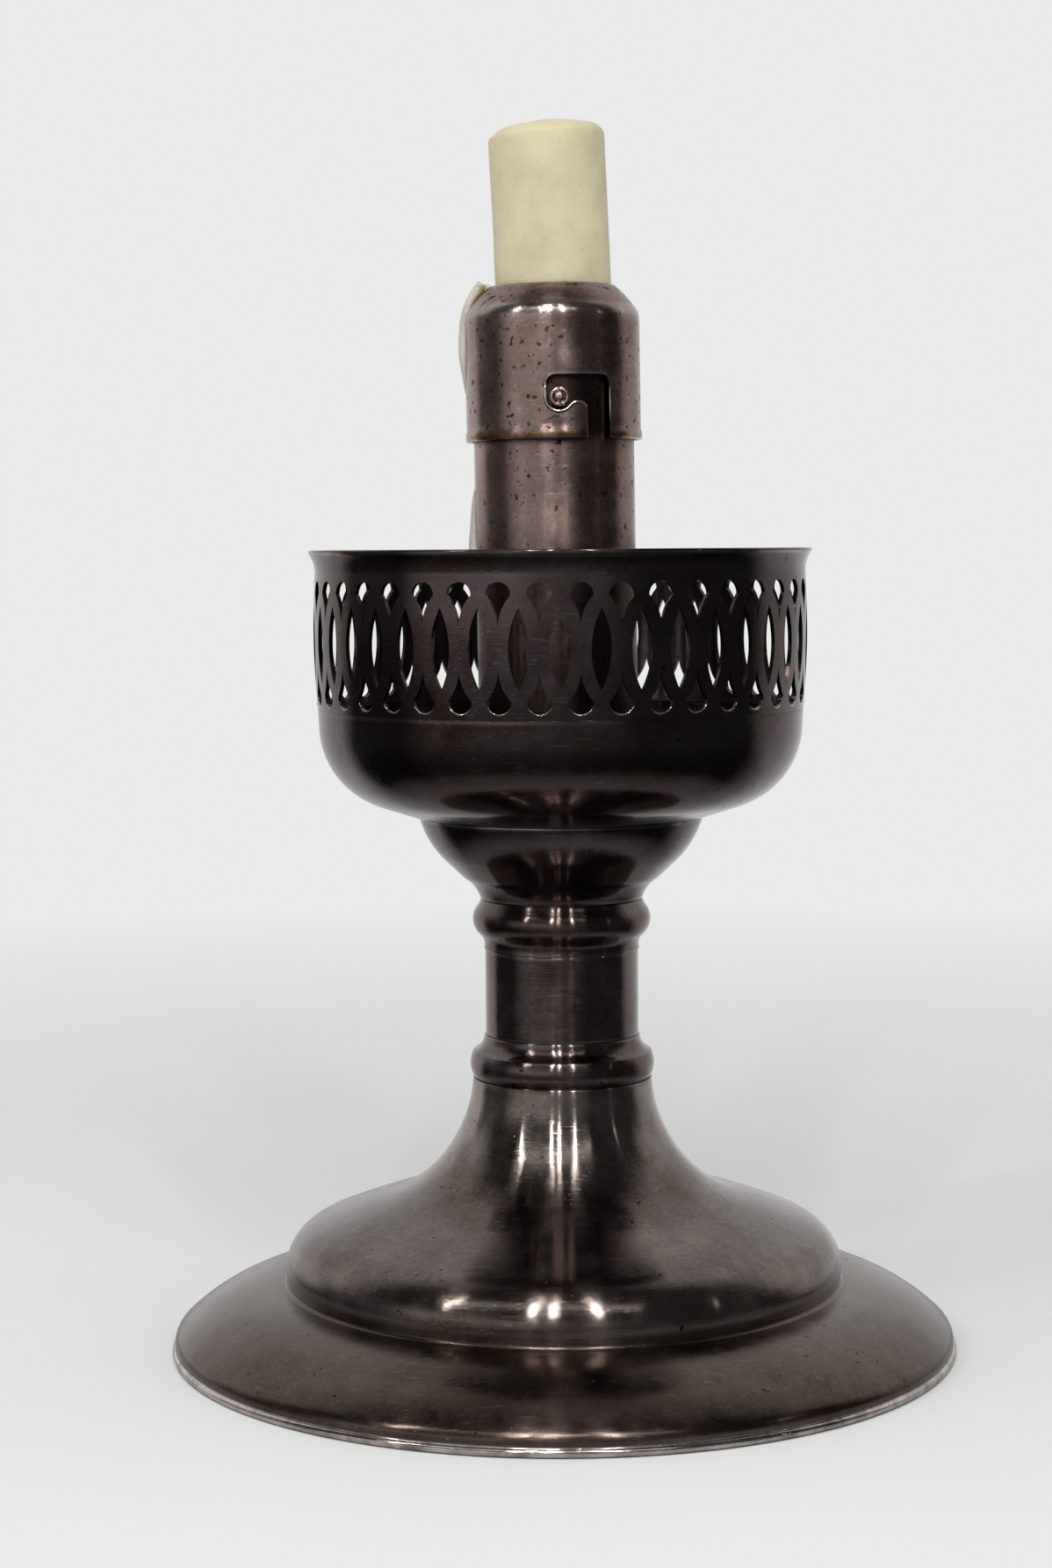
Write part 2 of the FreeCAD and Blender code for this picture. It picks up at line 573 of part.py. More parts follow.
turned("rod_washer", [
    (ROD_HOLE, "neck_top_height - foot_wall - washer_thickness"),
    ("washer_radius", "neck_top_height - foot_wall - washer_thickness"),
    ("washer_radius", "neck_top_height - foot_wall"),
    (ROD_HOLE, "neck_top_height - foot_wall"),
])

hexagon = doc.addObject("Part::Prism", "nut_hexagon")
hexagon.Polygon = 6
hexagon.setExpression("Circumradius", bound("nut_radius"))
hexagon.setExpression("Height", bound("nut_height"))
hexagon_bore = doc.addObject("Part::Cylinder", "nut_bore")
hexagon_bore.setExpression("Radius", bound("rod_radius"))
hexagon_bore.setExpression("Height", bound("nut_height"))
nut = doc.addObject("Part::Cut", "rod_nut")
nut.Base = hexagon
nut.Tool = hexagon_bore
nut.setExpression("Placement.Base.z", bound("neck_top_height - foot_wall - washer_thickness - nut_height"))
record("rod_nut", nut)

# Candle tube and what it carries, all drawn upright on the tube's own axis
turned("candle_tube", [
    ("tube_radius - tube_wall", "0"),
    ("tube_radius", "0"),
    ("tube_radius", "tube_length"),
    ("tube_radius - tube_wall", "tube_length"),
])

turned("tube_plug", [
    ("0", "plug_rise"),
    ("tube_radius - tube_wall - plug_gap", "plug_rise"),
    ("tube_radius - tube_wall - plug_gap", "plug_rise + plug_thickness"),
    ("plug_spigot_radius", "plug_rise + plug_thickness"),
    ("plug_spigot_radius", "plug_rise + plug_thickness + plug_spigot_height"),
    ("0", "plug_rise + plug_thickness + plug_spigot_height"),
])

CAP_FOOT = "tube_length - cap_overlap"
CAP_TOP = CAP_FOOT + " + cap_height"
CAP_BEND = CAP_FOOT + " + cap_wall_height"
FOLLOWER_TOP = CAP_TOP + " - cap_wall - follower_stop_drop"
FOLLOWER_FLOOR = FOLLOWER_TOP + " - follower_recess_depth"
FOLLOWER_OUT = "tube_radius - tube_wall - follower_gap"
turned("follower_cup", [
    ("0", FOLLOWER_FLOOR + " - follower_wall"),
    (FOLLOWER_OUT + " - follower_wall", FOLLOWER_FLOOR + " - follower_wall"),
    (FOLLOWER_OUT + " - follower_wall", FOLLOWER_TOP + " - follower_skirt"),
    (FOLLOWER_OUT, FOLLOWER_TOP + " - follower_skirt"),
    (FOLLOWER_OUT, FOLLOWER_TOP + " - follower_chamfer"),
    (FOLLOWER_OUT + " - follower_chamfer", FOLLOWER_TOP),
    ("follower_recess_radius", FOLLOWER_TOP),
    ("follower_recess_radius", FOLLOWER_FLOOR),
    ("0", FOLLOWER_FLOOR),
])

# Cap: a straight wall with a flared edge, a rounded shoulder and an open mouth
cap_line = [
    ("cap_radius + cap_flare", CAP_FOOT),
    ("cap_radius + cap_flare", CAP_FOOT + " + cap_flare_height"),
    ("cap_radius", CAP_FOOT + " + cap_flare_height + cap_flare_ease"),
    ("cap_radius", CAP_BEND),
    ("cap_radius - cap_brow_inset", CAP_BEND + " + cap_brow_rise", "cap_brow_share"),
    ("mouth_radius", CAP_TOP, "cap_shoulder_share"),
]
cap = turned("bayonet_cap", sheet_outline(cap_line, "cap_wall", ("level", "upright")))

NOTCH_LEFT = "0 - slot_reach - notch_radius"
ENTRY_RIGHT = "slot_reach + slot_width / 2"
ENTRY_LEFT = "slot_reach - slot_width / 2"
SLOT_ROOF = CAP_FOOT + " + slot_roof"
TONGUE_TOP = CAP_FOOT + " + tongue_height"
cut_through(cap, "slots", [[
    (ENTRY_LEFT, CAP_FOOT + " - cut_overrun"),
    (ENTRY_RIGHT, CAP_FOOT + " - cut_overrun"),
    (ENTRY_RIGHT, SLOT_ROOF + " - slot_corner"),
    (ENTRY_RIGHT + " - slot_corner", SLOT_ROOF, "corner_share"),
    (NOTCH_LEFT + " + slot_corner", SLOT_ROOF),
    (NOTCH_LEFT, SLOT_ROOF + " - slot_corner", "corner_share"),
    (NOTCH_LEFT, CAP_FOOT + " + notch_height"),
    ("0 - tongue_left", TONGUE_TOP + " - tongue_left_drop", "notch_share"),
    ("0 - tongue_crest", TONGUE_TOP, "-tongue_left_share"),
    (ENTRY_LEFT, TONGUE_TOP + " - tongue_right_drop", "-tongue_right_share"),
]], "pin_count", "cap_radius / 2", "cap_radius")

# Pins: slim shanks through tube wall and slot, with domed heads outside the cap
pin_angle = value("slot_centre_deg") - math.degrees(math.asin(value("slot_reach / cap_radius")))
head_low = value("cap_radius + pin_head_gap")
head_edge = value("cap_radius + pin_head_gap + pin_head_thickness")
head_top = value("cap_radius + pin_head_gap + pin_head_thickness + pin_head_dome")
shank = value("pin_shank_radius")
head = value("pin_head_radius")
pin_points = [FreeCAD.Vector(x, y, 0) for x, y in (
    (0, value("tube_radius - tube_wall")), (shank, value("tube_radius - tube_wall")),
    (shank, head_low), (head, head_low), (head, head_edge))]
pin_edges = [Part.LineSegment(a, b).toShape() for a, b in zip(pin_points, pin_points[1:])]
dome_share = math.tan(math.atan2(value("pin_head_dome"), head) / 2) / 2
pin_edges.append(turned_arc((head, head_edge), (0, head_top), dome_share).toShape())
pin_edges.append(Part.LineSegment(FreeCAD.Vector(0, head_top, 0), pin_points[0]).toShape())
pin = Part.Face(Part.Wire(pin_edges)).revolve(FreeCAD.Vector(0, 0, 0), FreeCAD.Vector(0, 1, 0), 360)
pin.rotate(FreeCAD.Vector(0, 0, 0), FreeCAD.Vector(0, 0, 1), 180)
PIN_HEIGHT = CAP_FOOT + " + pin_height"
pin.translate(FreeCAD.Vector(0, 0, value(PIN_HEIGHT)))
pins = []
for index in range(int(value("pin_count"))):
    turned_pin = pin.copy()
    turn = pin_angle + 360.0 * index / value("pin_count")
    turned_pin.rotate(FreeCAD.Vector(0, 0, 0), FreeCAD.Vector(0, 0, 1), turn)
    pins.append(turned_pin)
shaped("bayonet_pins", Part.makeCompound(pins))

# The tube has a hole for each pin's shank
pin_hole = doc.getObject("candle_tube").newObject("Sketcher::SketchObject", "pin_hole_outline")
front_plane = [f for f in doc.getObject("candle_tube").Origin.OriginFeatures if f.Role == "XZ_Plane"][0]
pin_hole.AttachmentSupport = [(front_plane, "")]
pin_hole.MapMode = "FlatFace"
hole_middle = FreeCAD.Vector(0, value(PIN_HEIGHT), 0)
pin_hole.addGeometry(Part.Circle(hole_middle, FreeCAD.Vector(0, 0, 1), shank), False)
pin_hole.addConstraint(Sketcher.Constraint("PointOnObject", 0, 3, -2))
bind(pin_hole, "DistanceY", (-1, 1, 0, 3), PIN_HEIGHT)
bind(pin_hole, "Radius", (0,), "pin_shank_radius")
holes = doc.getObject("candle_tube").newObject("PartDesign::Pocket", "pin_holes")
holes.Profile = pin_hole
holes.Type = "ThroughAll"
holes.Midplane = True
doc.getObject("candle_tube").Tip = holes

# Spring: one unbroken wire from plug to follower, wound in half turns of two arcs each
SPRING_LOW = value("plug_rise + plug_thickness + spring_wire / 2 + spring_end_gap")
SPRING_HIGH = value(FOLLOWER_FLOOR + " - follower_wall - spring_wire / 2 - spring_end_gap")
half_turns = int(2 * value("spring_turns"))
spring_radius = value("spring_radius")
rise_per_radian = (SPRING_HIGH - SPRING_LOW) / (half_turns * math.pi)


def spring_place(angle):
    """Point and direction of the spring's middle line at an angle"""
    point = FreeCAD.Vector(spring_radius * math.cos(angle), spring_radius * math.sin(angle),
                           SPRING_LOW + rise_per_radian * angle)
    way = FreeCAD.Vector(-spring_radius * math.sin(angle), spring_radius * math.cos(angle), rise_per_radian)
    return point, way.normalize()


def leaving_arc(start, way, finish):
    """The arc that leaves start along a direction and ends at finish"""
    chord = finish - start
    reach = chord.Length / 2 / (chord.normalize().dot(way))
    corner = start + way * reach
    weight = (finish - start).Length / 2 / (corner - start).Length
    crest = (start + corner * (2 * weight) + finish) * (1 / (2 + 2 * weight))
    return Part.Arc(start, crest, finish).toShape()


def biarc(start, start_way, finish, finish_way):
    """Two arcs from one point and direction to another, smooth where they meet"""
    chord = finish - start
    ways = start_way + finish_way
    spread = 2 * (1 - start_way.dot(finish_way))
    reach = (-chord.dot(ways) + math.sqrt(chord.dot(ways) ** 2 + spread * chord.dot(chord))) / spread
    middle = (start + start_way * reach + finish - finish_way * reach) * 0.5
    middle_way = (finish - finish_way * reach - middle).normalize()
    return [leaving_arc(start, start_way, middle), leaving_arc(middle, middle_way, finish)]


wire_edges = []
for index in range(half_turns):
    low, low_way = spring_place(index * math.pi)
    high, high_way = spring_place((index + 1) * math.pi)
    wire_edges += biarc(low, low_way, high, high_way)
path = Part.Wire(wire_edges)
start, start_way = spring_place(0.0)
section = Part.Wire(Part.Circle(start, start_way, value("spring_wire / 2")).toShape())
coil = path.makePipeShell([section], True, False)
shaped("candle_spring", coil)
samples = [edge.valueAt(edge.FirstParameter + (edge.LastParameter - edge.FirstParameter) * k / 8)
           for edge in wire_edges for k in range(8)]
per_turn = 4 * 8
nearest = min((samples[i] - samples[j]).Length for i in range(len(samples))
              for j in range(i + per_turn // 2, min(i + per_turn + per_turn // 2, len(samples))))
print("spring: least gap to itself", round(nearest - value("spring_wire"), 3), "mm")

# Candle with a shallow pool, drawn upright from the middle of its foot, and its wick
turned("candle", [
    ("0", "0"),
    ("candle_radius", "0"),
    ("candle_radius", "candle_length"),
    ("candle_radius - candle_rim", "candle_length"),
    ("candle_radius - candle_rim * 2", "candle_length - candle_pool_depth"),
    ("0", "candle_length - candle_pool_depth"),
])

wick_foot = value("candle_length - candle_pool_depth + wick_gap")
wick_radius = value("wick_radius")
wick_height = value("wick_height")
wick_bend = value("wick_bend")
wick_path = Part.Wire([
    Part.Arc(FreeCAD.Vector(0, 0, wick_foot),
             FreeCAD.Vector(wick_bend / 4, 0, wick_foot + wick_height / 2),
             FreeCAD.Vector(wick_bend, 0, wick_foot + wick_height)).toShape()])
wick_round = Part.Circle(FreeCAD.Vector(0, 0, wick_foot), FreeCAD.Vector(0, 0, 1), wick_radius)
wick_section = Part.Wire(wick_round.toShape())
shaped("candle_wick", wick_path.makePipeShell([wick_section], True, False))


# Wax runs, drawn on the left of their wall as rounded ribs that thin out at both ends
def wax_run(top, bottom, radius, proud, half_width, shares):
    """A rib of wax down the left of a round wall, cut where the wall is"""
    sections = []
    for way, proud_share, width_share in shares:
        height = top + (bottom - top) * way
        stand, wide = proud * proud_share, half_width * width_share
        edge_x = -(radius - wide * wide / (2 * radius) - stand)
        points = [FreeCAD.Vector(edge_x, -wide, height), FreeCAD.Vector(-(radius + stand), 0, height),
                  FreeCAD.Vector(edge_x, wide, height)]
        rounded = Part.Arc(*points).toShape()
        flat = Part.LineSegment(points[2], points[0]).toShape()
        sections.append(Part.Wire([rounded, flat]))
    return Part.makeLoft(sections, True, False)


def part_turn(places, half_angle):
    """A flat section turned through twice an angle, half to each side of the left"""
    corners = [FreeCAD.Vector(x, 0, z) for x, z in places]
    face = Part.Face(Part.makePolygon(corners + corners[:1]))
    face.rotate(FreeCAD.Vector(0, 0, 0), FreeCAD.Vector(0, 0, 1), 180 - half_angle)
    return face.revolve(FreeCAD.Vector(0, 0, 0), FreeCAD.Vector(0, 0, 1), 2 * half_angle)


cap_outer = solid_of([("0", CAP_FOOT)] + cap_line + [("0", CAP_TOP)])
run_top = value(CAP_BEND + " + cap_brow_rise / 2")
cap_run = wax_run(run_top, value(CAP_FOOT + " + cap_run_bottom"), value("cap_radius"),
                  value("cap_run_proud"), value("cap_run_half_width"), CAP_RUN_SHARES)
bead_low = value(CAP_TOP + " - mouth_bead_width")
bead_crest = (value("mouth_radius + mouth_bead_width"), value(CAP_TOP + " + mouth_bead_rise / 3"))
bead = part_turn([
    (value("mouth_radius + mouth_bead_width * 2"), bead_low - value("mouth_bead_width")),
    bead_crest,
    (value("mouth_radius"), value(CAP_TOP + " + mouth_bead_rise")),
    (value("mouth_radius"), bead_low)], value("mouth_bead_half_deg"))
shoulder_x = value("cap_radius - cap_brow_inset + shoulder_run_thickness")
shoulder_z = value(CAP_BEND + " + cap_brow_rise + shoulder_run_thickness / 2")
link = part_turn([
    (value("mouth_radius"), bead_low),
    (value("cap_radius - cap_brow_inset * 2"), value(CAP_BEND)),
    (value("cap_radius + shoulder_run_thickness / 2"), value(CAP_BEND)),
    (shoulder_x, shoulder_z),
    bead_crest], value("shoulder_run_half_deg"))
cap_low = FreeCAD.Vector(0, 0, value(CAP_FOOT))
cap_inside = Part.makeCylinder(value("mouth_radius"), value("cap_height * 2"), cap_low)
mouth_wax = cap_run.fuse([bead, link]).cut(cap_outer).cut(cap_inside).removeSplitter()
shaped("cap_wax_run", mouth_wax)

tube_run_top = value(CAP_FOOT + " - tube_run_gap")
tube_run = wax_run(tube_run_top, tube_run_top - value("tube_run_length"), value("tube_radius"),
                   value("tube_run_proud"), value("tube_run_half_width"), TUBE_RUN_SHARES)
shaped("tube_wax_run", tube_run.cut(Part.makeCylinder(value("tube_radius"), value("tube_length"))))

# The tube and all that it carries lean to the left in the bell, and the candle leans a little more
LEANING = ["candle_tube", "tube_plug", "bayonet_cap", "bayonet_pins", "candle_spring", "follower_cup",
           "cap_wax_run", "tube_wax_run", "candle", "candle_wick"]
lean = FreeCAD.Placement(FreeCAD.Vector(0, 0, value(TUBE_FOOT)),
                         FreeCAD.Rotation(FreeCAD.Vector(0, 1, 0), -value("tube_lean_deg")))
cap_turn = FreeCAD.Placement(FreeCAD.Vector(0, 0, 0),
                             FreeCAD.Rotation(FreeCAD.Vector(0, 0, 1), value("slot_centre_deg")))
pin_turn = FreeCAD.Placement(FreeCAD.Vector(0, 0, 0), FreeCAD.Rotation(FreeCAD.Vector(0, 0, 1), pin_angle))
candle_foot = value(FOLLOWER_FLOOR + " + candle_foot_gap")
candle_place = FreeCAD.Placement(FreeCAD.Vector(value("candle_foot_shift"), 0, candle_foot),
                                 FreeCAD.Rotation(FreeCAD.Vector(0, 1, 0), -value("candle_lean_deg")))
own_places = {"bayonet_cap": cap_turn, "candle_tube": pin_turn,
              "candle": candle_place, "candle_wick": candle_place}

doc.recompute()
for piece in SUB_PARTS:
    if piece.Label in LEANING:
        piece.Placement = lean.multiply(own_places.get(piece.Label, FreeCAD.Placement()))
doc.recompute()

# Every object must be sound before anything is written
for thing in doc.Objects:
    faults = [state for state in thing.State if state in ("Invalid", "Error")]
    if faults:
        raise RuntimeError(f"{thing.Name}: {faults}")
for piece in SUB_PARTS:
    if piece.Shape.isNull() or not piece.Shape.isValid():
        raise RuntimeError(f"{piece.Label} has no valid shape")

os.makedirs("parts", exist_ok=True)
for piece in SUB_PARTS:
    piece.Shape.exportStep(f"parts/{piece.Label}.step")
    box = piece.Shape.BoundBox
    print(f"{piece.Label:14s} solids {len(piece.Shape.Solids)} volume {piece.Shape.Volume:10.1f}"
          f"  z {box.ZMin:7.2f} to {box.ZMax:7.2f}  x {box.XMin:7.2f} to {box.XMax:7.2f}")
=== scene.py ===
import json
import math

import bmesh
import bpy
from mathutils import Matrix, Vector, noise


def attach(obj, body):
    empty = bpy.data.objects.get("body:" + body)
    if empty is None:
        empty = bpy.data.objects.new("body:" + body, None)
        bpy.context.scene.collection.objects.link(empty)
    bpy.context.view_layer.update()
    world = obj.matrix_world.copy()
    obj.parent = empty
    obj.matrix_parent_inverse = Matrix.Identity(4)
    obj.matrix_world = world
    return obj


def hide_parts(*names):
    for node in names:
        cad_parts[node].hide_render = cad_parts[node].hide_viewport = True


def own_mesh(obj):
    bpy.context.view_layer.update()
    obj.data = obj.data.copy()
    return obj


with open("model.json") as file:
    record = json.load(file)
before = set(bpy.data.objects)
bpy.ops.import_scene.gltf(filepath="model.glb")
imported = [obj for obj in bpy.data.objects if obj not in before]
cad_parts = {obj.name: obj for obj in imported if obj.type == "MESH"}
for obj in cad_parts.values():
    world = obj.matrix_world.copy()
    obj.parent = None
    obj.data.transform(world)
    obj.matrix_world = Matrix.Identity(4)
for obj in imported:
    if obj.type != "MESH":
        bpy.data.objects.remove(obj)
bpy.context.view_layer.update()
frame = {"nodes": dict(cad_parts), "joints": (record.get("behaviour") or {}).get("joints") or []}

bl_info = {
    "name": "Candlestick dressing",
    "version": (1, 0, 0),
    "blender": (4, 5, 0),
    "location": "View3D > Sidebar > Candlestick",
    "description": "Dresses a candlestick with a pierced gallery and a sprung candle tube",
    "category": "Object",
}

# Outlines are half sections in millimetres: radius, height, and for the arc that ends there its
# sagitta over its chord, positive where it swells outwards. They are walked with the metal on the left.
MM = 0.001
QUARTER_ROUND = 0.2071
STAND = "stand"

JOINTS = {joint["name"]: joint for joint in frame["joints"]}
TUBE_AXIS = Vector(JOINTS["cap_turn"]["axis"])
TUBE_FOOT = Vector(JOINTS["cap_turn"]["pos_m"])
TUBE_PLACE = Matrix.Translation(TUBE_FOOT) @ Matrix.Rotation(math.atan2(TUBE_AXIS.x, TUBE_AXIS.z), 4, "Y")

FOOT_OUTLINE = [
    (71.9, 0.0), (74.2, 0.0), (75.0, 0.85, QUARTER_ROUND), (74.5, 1.65, 0.15), (74.5, 2.3, -0.06),
    (73.7, 4.4, 0.1035), (68.0, 8.6, 0.03), (53.8, 12.65, 0.052), (53.05, 13.6, -0.2), (53.25, 15.5),
    (48.2, 23.5, 0.145), (34.0, 28.6, 0.012), (28.2, 31.6, -0.02),
    (20.2, 41.0, -0.055), (17.1, 52.0, -0.055), (3.3, 52.0), (3.3, 51.2), (16.35, 51.2),
    (19.5, 41.0, 0.055), (27.4, 31.0, 0.055), (47.6, 22.9), (52.4, 15.5), (52.2, 12.0), (67.6, 7.9),
    (73.1, 4.0), (74.2, 1.4), (73.6, 0.8), (71.9, 0.8)]
LOWER_COLLAR_OUTLINE = [
    (3.3, 52.0), (16.8, 52.0), (17.35, 56.3, 0.12), (17.05, 57.1), (14.9, 60.2, -0.17), (13.3, 60.2),
    (13.3, 65.2), (3.3, 65.2)]
STEM_OUTLINE = [(13.4, 60.2), (14.6, 60.2), (14.6, 76.6), (13.4, 76.6)]
UPPER_COLLAR_OUTLINE = [
    (3.3, 71.6), (13.3, 71.6), (13.3, 76.6), (14.9, 76.6), (15.7, 79.5, -0.17), (15.9, 85.1, 0.21),
    (15.4, 86.2), (3.3, 86.2)]
BELL_OUTLINE = [
    (3.3, 86.2), (15.4, 86.2), (18.6, 90.3, -0.1), (22.6, 94.1), (27.0, 101.8, 0.06), (26.2, 101.8),
    (21.8, 94.5, -0.06), (15.55, 90.3), (15.55, 88.1), (3.3, 88.1)]
BOWL_OUTLINE = [
    (15.55, 101.8), (27.0, 101.8), (34.1, 104.1), (45.8, 119.5, 0.168), (45.95, 122.5), (45.0, 122.5),
    (45.0, 119.5), (33.8, 104.9, -0.168), (26.9, 102.6), (15.55, 102.6)]
BAND_OUTLINE = [
    (45.95, 122.5), (46.3, 148.1, 0.02), (47.5, 151.9, -0.09), (47.5, 152.15), (47.15, 152.5, QUARTER_ROUND),
    (46.2, 152.5), (45.9, 152.2, QUARTER_ROUND), (45.5, 148.1, 0.03), (45.15, 122.5, -0.02)]
TUBE_OUTLINE = [(14.3, 0.0), (15.1, 0.0), (15.1, 105.6), (14.3, 105.6)]
PIN_OUTLINE = [
    (0.0, 14.3), (0.7, 14.3), (0.7, 16.57), (1.8, 16.57), (1.8, 16.86), (1.62, 17.02, 0.2), (1.3, 17.05, 0.1),
    (1.12, 16.8), (0.94, 17.1), (0.0, 17.4, 0.14)]
CANDLE_OUTLINE = [
    (0.0, 0.0), (10.6, 0.0), (10.95, 0.4), (10.95, 32.0), (10.3, 33.6, 0.12), (8.9, 34.5, 0.08),
    (7.6, 34.65, 0.06), (6.6, 34.1, 0.08), (5.4, 32.9, -0.05), (3.0, 32.45, -0.04), (0.0, 32.45)]
CAP_OUTLINE = [
    (16.6, 84.4), (16.6, 85.8), (16.42, 86.4), (16.42, 107.0), (15.4, 109.4, 0.1), (11.85, 113.3, 0.03),
    (11.85, 112.4), (14.8, 109.0, -0.03), (15.72, 107.0, -0.1), (15.72, 86.4), (15.9, 85.8), (15.9, 84.4)]

# Heights over the foot of the tube and reaches from the axis, in millimetres, and the first slot's turn
CAP_FOOT = 84.4
CAP_REACH = 16.42
BEAD_REACH = 16.4
BAND_REACH = 45.97
NOTCH_REACH = 3.8
PIN_RISE = 7.55
SLOT_TURN = math.radians(17.4)

# Wax runs: angle from the left, radius, height, tilt, half depth and half width
CAP_RUN = [
    (0, 12.9, 113.7, -62, 1.5, 2.6), (0, 13.9, 112.6, -55, 1.3, 2.4), (0, 14.9, 111.2, -48, 1.2, 2.2),
    (0, 15.6, 109.7, -32, 1.15, 2.1), (0, 16.05, 108.0, -14, 1.2, 2.2), (0, 16.3, 106.0, -4, 1.3, 2.4),
    (0, 16.4, 103.5, 0, 1.4, 2.6), (0, 16.4, 101.0, 0, 1.35, 2.5), (0, 16.4, 98.5, 0, 1.1, 2.2),
    (0, 16.4, 96.4, 0, 0.85, 1.8), (0, 16.35, 94.6, 0, 0.6, 1.3), (0, 16.25, 93.2, 0, 0.35, 0.7)]
TUBE_RUN = [
    (0, 15.0, 76.0, 0, 0.3, 0.5), (0, 15.1, 74.0, 0, 0.65, 1.0), (0, 15.1, 71.5, 0, 1.0, 1.6),
    (0, 15.1, 68.0, 0, 1.3, 2.0), (0, 15.1, 64.5, 0, 1.5, 2.3), (0, 15.1, 61.0, 0, 1.75, 2.6),
    (0, 15.1, 58.8, 0, 1.6, 2.4), (0, 15.1, 57.5, 0, 1.0, 1.5)]

# The room as polished metal shows it, above and below the horizon: degrees to the right of the front,
# and brightness
ROOM = [
    (-180, 0.75), (-124, 0.75), (-112, 0.14), (-78, 0.12), (-60, 0.8), (-22, 0.95), (-10, 0.48), (6, 0.28),
    (20, 0.24), (36, 0.06), (98, 0.05), (112, 0.5), (180, 0.75)]
LOW_ROOM = [
    (-180, 0.62), (-124, 0.66), (-112, 0.05), (-78, 0.05), (-62, 0.2), (-22, 0.22), (10, 0.18), (36, 0.07),
    (98, 0.05), (112, 0.6), (180, 0.8)]

# Lamps: degrees to the right of the front, degrees up, width and height in metres, and watts
LAMPS = [
    ("lamp_far_left", -52, 36, 0.02, 0.5, 1.9),
    ("lamp_left", -14, 37, 0.02, 0.4, 1.6),
    ("lamp_middle", -4.5, 37, 0.02, 0.4, 1.6),
    ("lamp_right", 15, 37, 0.02, 0.4, 1.6),
    ("tall_left", -14, 42, 0.015, 1.1, 1.6),
    ("tall_middle", -4.5, 42, 0.015, 1.1, 1.6),
    ("tall_right", 15, 42, 0.015, 1.1, 1.6),
    ("lamp_far_right", 66, 20, 0.02, 0.02, 0.06),
    ("strip_front", -12, 45, 2.1, 0.07, 1.9),
    ("soft_front", -8, 40, 2.0, 0.5, 0.6),
]
LAMP_AIM = Vector((0, 0, 0.12))
LAMP_DISTANCE = 1.4
LIGHT_LEVEL = 0.6

# The camera as fitted to the photo: place in metres, turns in degrees, focal length over picture height
CAMERA_PLACE = (0, -0.563, 0.1525)
CAMERA_YAW, CAMERA_PITCH, CAMERA_ROLL = 0.676, 4.525, -0.36
CAMERA_REACH = 3380 / 1785


def length_property(title, text, default):
    """A length that a user may change"""
    return bpy.props.FloatProperty(name=title, description=text, default=default, unit="LENGTH")


class CandlestickSizes(bpy.types.PropertyGroup):
    """Sizes that set how the pieces are made"""
    lathe_steps: bpy.props.IntProperty(
        name="Lathe steps", description="Steps round each turned piece", default=288)
    edge_round: length_property("Edge rounding", "Rounding of the turned edges", 0.22 * MM)
    unevenness: length_property("Unevenness", "Depth of the hollows that spinning and wear leave", 0.014 * MM)
    columns: bpy.props.IntProperty(
        name="Columns", description="Columns of piercing round the gallery", default=40)
    lens_length: length_property("Lens length", "Length of each pointed lens", 14.6 * MM)
    lens_width: length_property("Lens width", "Width of each pointed lens", 3.7 * MM)
    drop_radius: length_property("Drop radius", "Round end of each drop", 2.3 * MM)
    drop_length: length_property("Drop length", "Length of each drop", 7.8 * MM)
    candle_lean: bpy.props.FloatProperty(
        name="Candle lean", description="Lean of the candle in the tube", default=math.radians(-1.85),
        unit="ROTATION")
    wax_voxel: length_property("Wax fineness", "Grain of the wax runs' shape", 0.3 * MM)


def colour_property(title, text, default):
    """A colour that a user may change"""
    return bpy.props.FloatVectorProperty(
        name=title, description=text, default=default, size=3, min=0.0, max=1.0, subtype="COLOR")


class CandlestickColours(bpy.types.PropertyGroup):
    """Colours of the finishes"""
    satin: colour_property("Satin plate", "Worn satin plate of the flange", (0.11, 0.084, 0.073))
    plate: colour_property("Plate", "Tarnished plate of dome and neck", (0.135, 0.112, 0.105))
    rosy: colour_property("Warm plate", "Warmer plate of tube and cap", (0.23, 0.165, 0.155))
    stem: colour_property("Dark plate", "Darker plate of stem and collars", (0.118, 0.095, 0.091))
    bowl: colour_property("Black tarnish", "Dark tarnish of bell, bowl and gallery", (0.076, 0.062, 0.065))
    # The worn plate colour also serves as painted highlight on marked edges, beads and zones
    worn_and_highlit: colour_property("Worn edge", "Plate that handling keeps bright", (0.72, 0.66, 0.62))
    brass: colour_property("Brass", "Bare brass where the plate is gone", (0.25, 0.13, 0.05))
    steel: colour_property("Steel", "Steel of spring, rod and nut", (0.3, 0.29, 0.28))
    wax: colour_property("Wax", "Candle wax", (0.56, 0.51, 0.34))
    thin_wax: colour_property("Thin wax", "Wax that ran down in a thin layer", (0.5, 0.47, 0.41))
    wick: colour_property("Wick", "Burnt wick", (0.02, 0.016, 0.013))
    filling: colour_property("Filling", "Filling of the foot", (0.16, 0.13, 0.1))
    felt: colour_property("Felt", "Felt under the foot", (0.02, 0.05, 0.03))
    floor: colour_property("Floor", "Pale floor", (0.78, 0.785, 0.78))
    backdrop: colour_property("Backdrop", "Pale background", (0.82, 0.83, 0.82))


def sizes():
    return bpy.context.scene.candlestick_sizes


def colours():
    return bpy.context.scene.candlestick_colours


# Shapes
def arc_place(start, finish, share, way):
    """The place at a share of the way along the arc from start to finish"""
    across = (finish[0] - start[0], finish[1] - start[1])
    if abs(share) < 1e-6:
        return start[0] + across[0] * way, start[1] + across[1] * way
    half = 2 * math.atan(2 * share)
    turn = half * (2 * way - 1)
    along = 0.5 + math.sin(turn) / (2 * math.sin(half))
    aside = (math.cos(turn) - math.cos(half)) / (2 * math.sin(half))
    return (start[0] + across[0] * along + across[1] * aside,
            start[1] + across[1] * along - across[0] * aside)


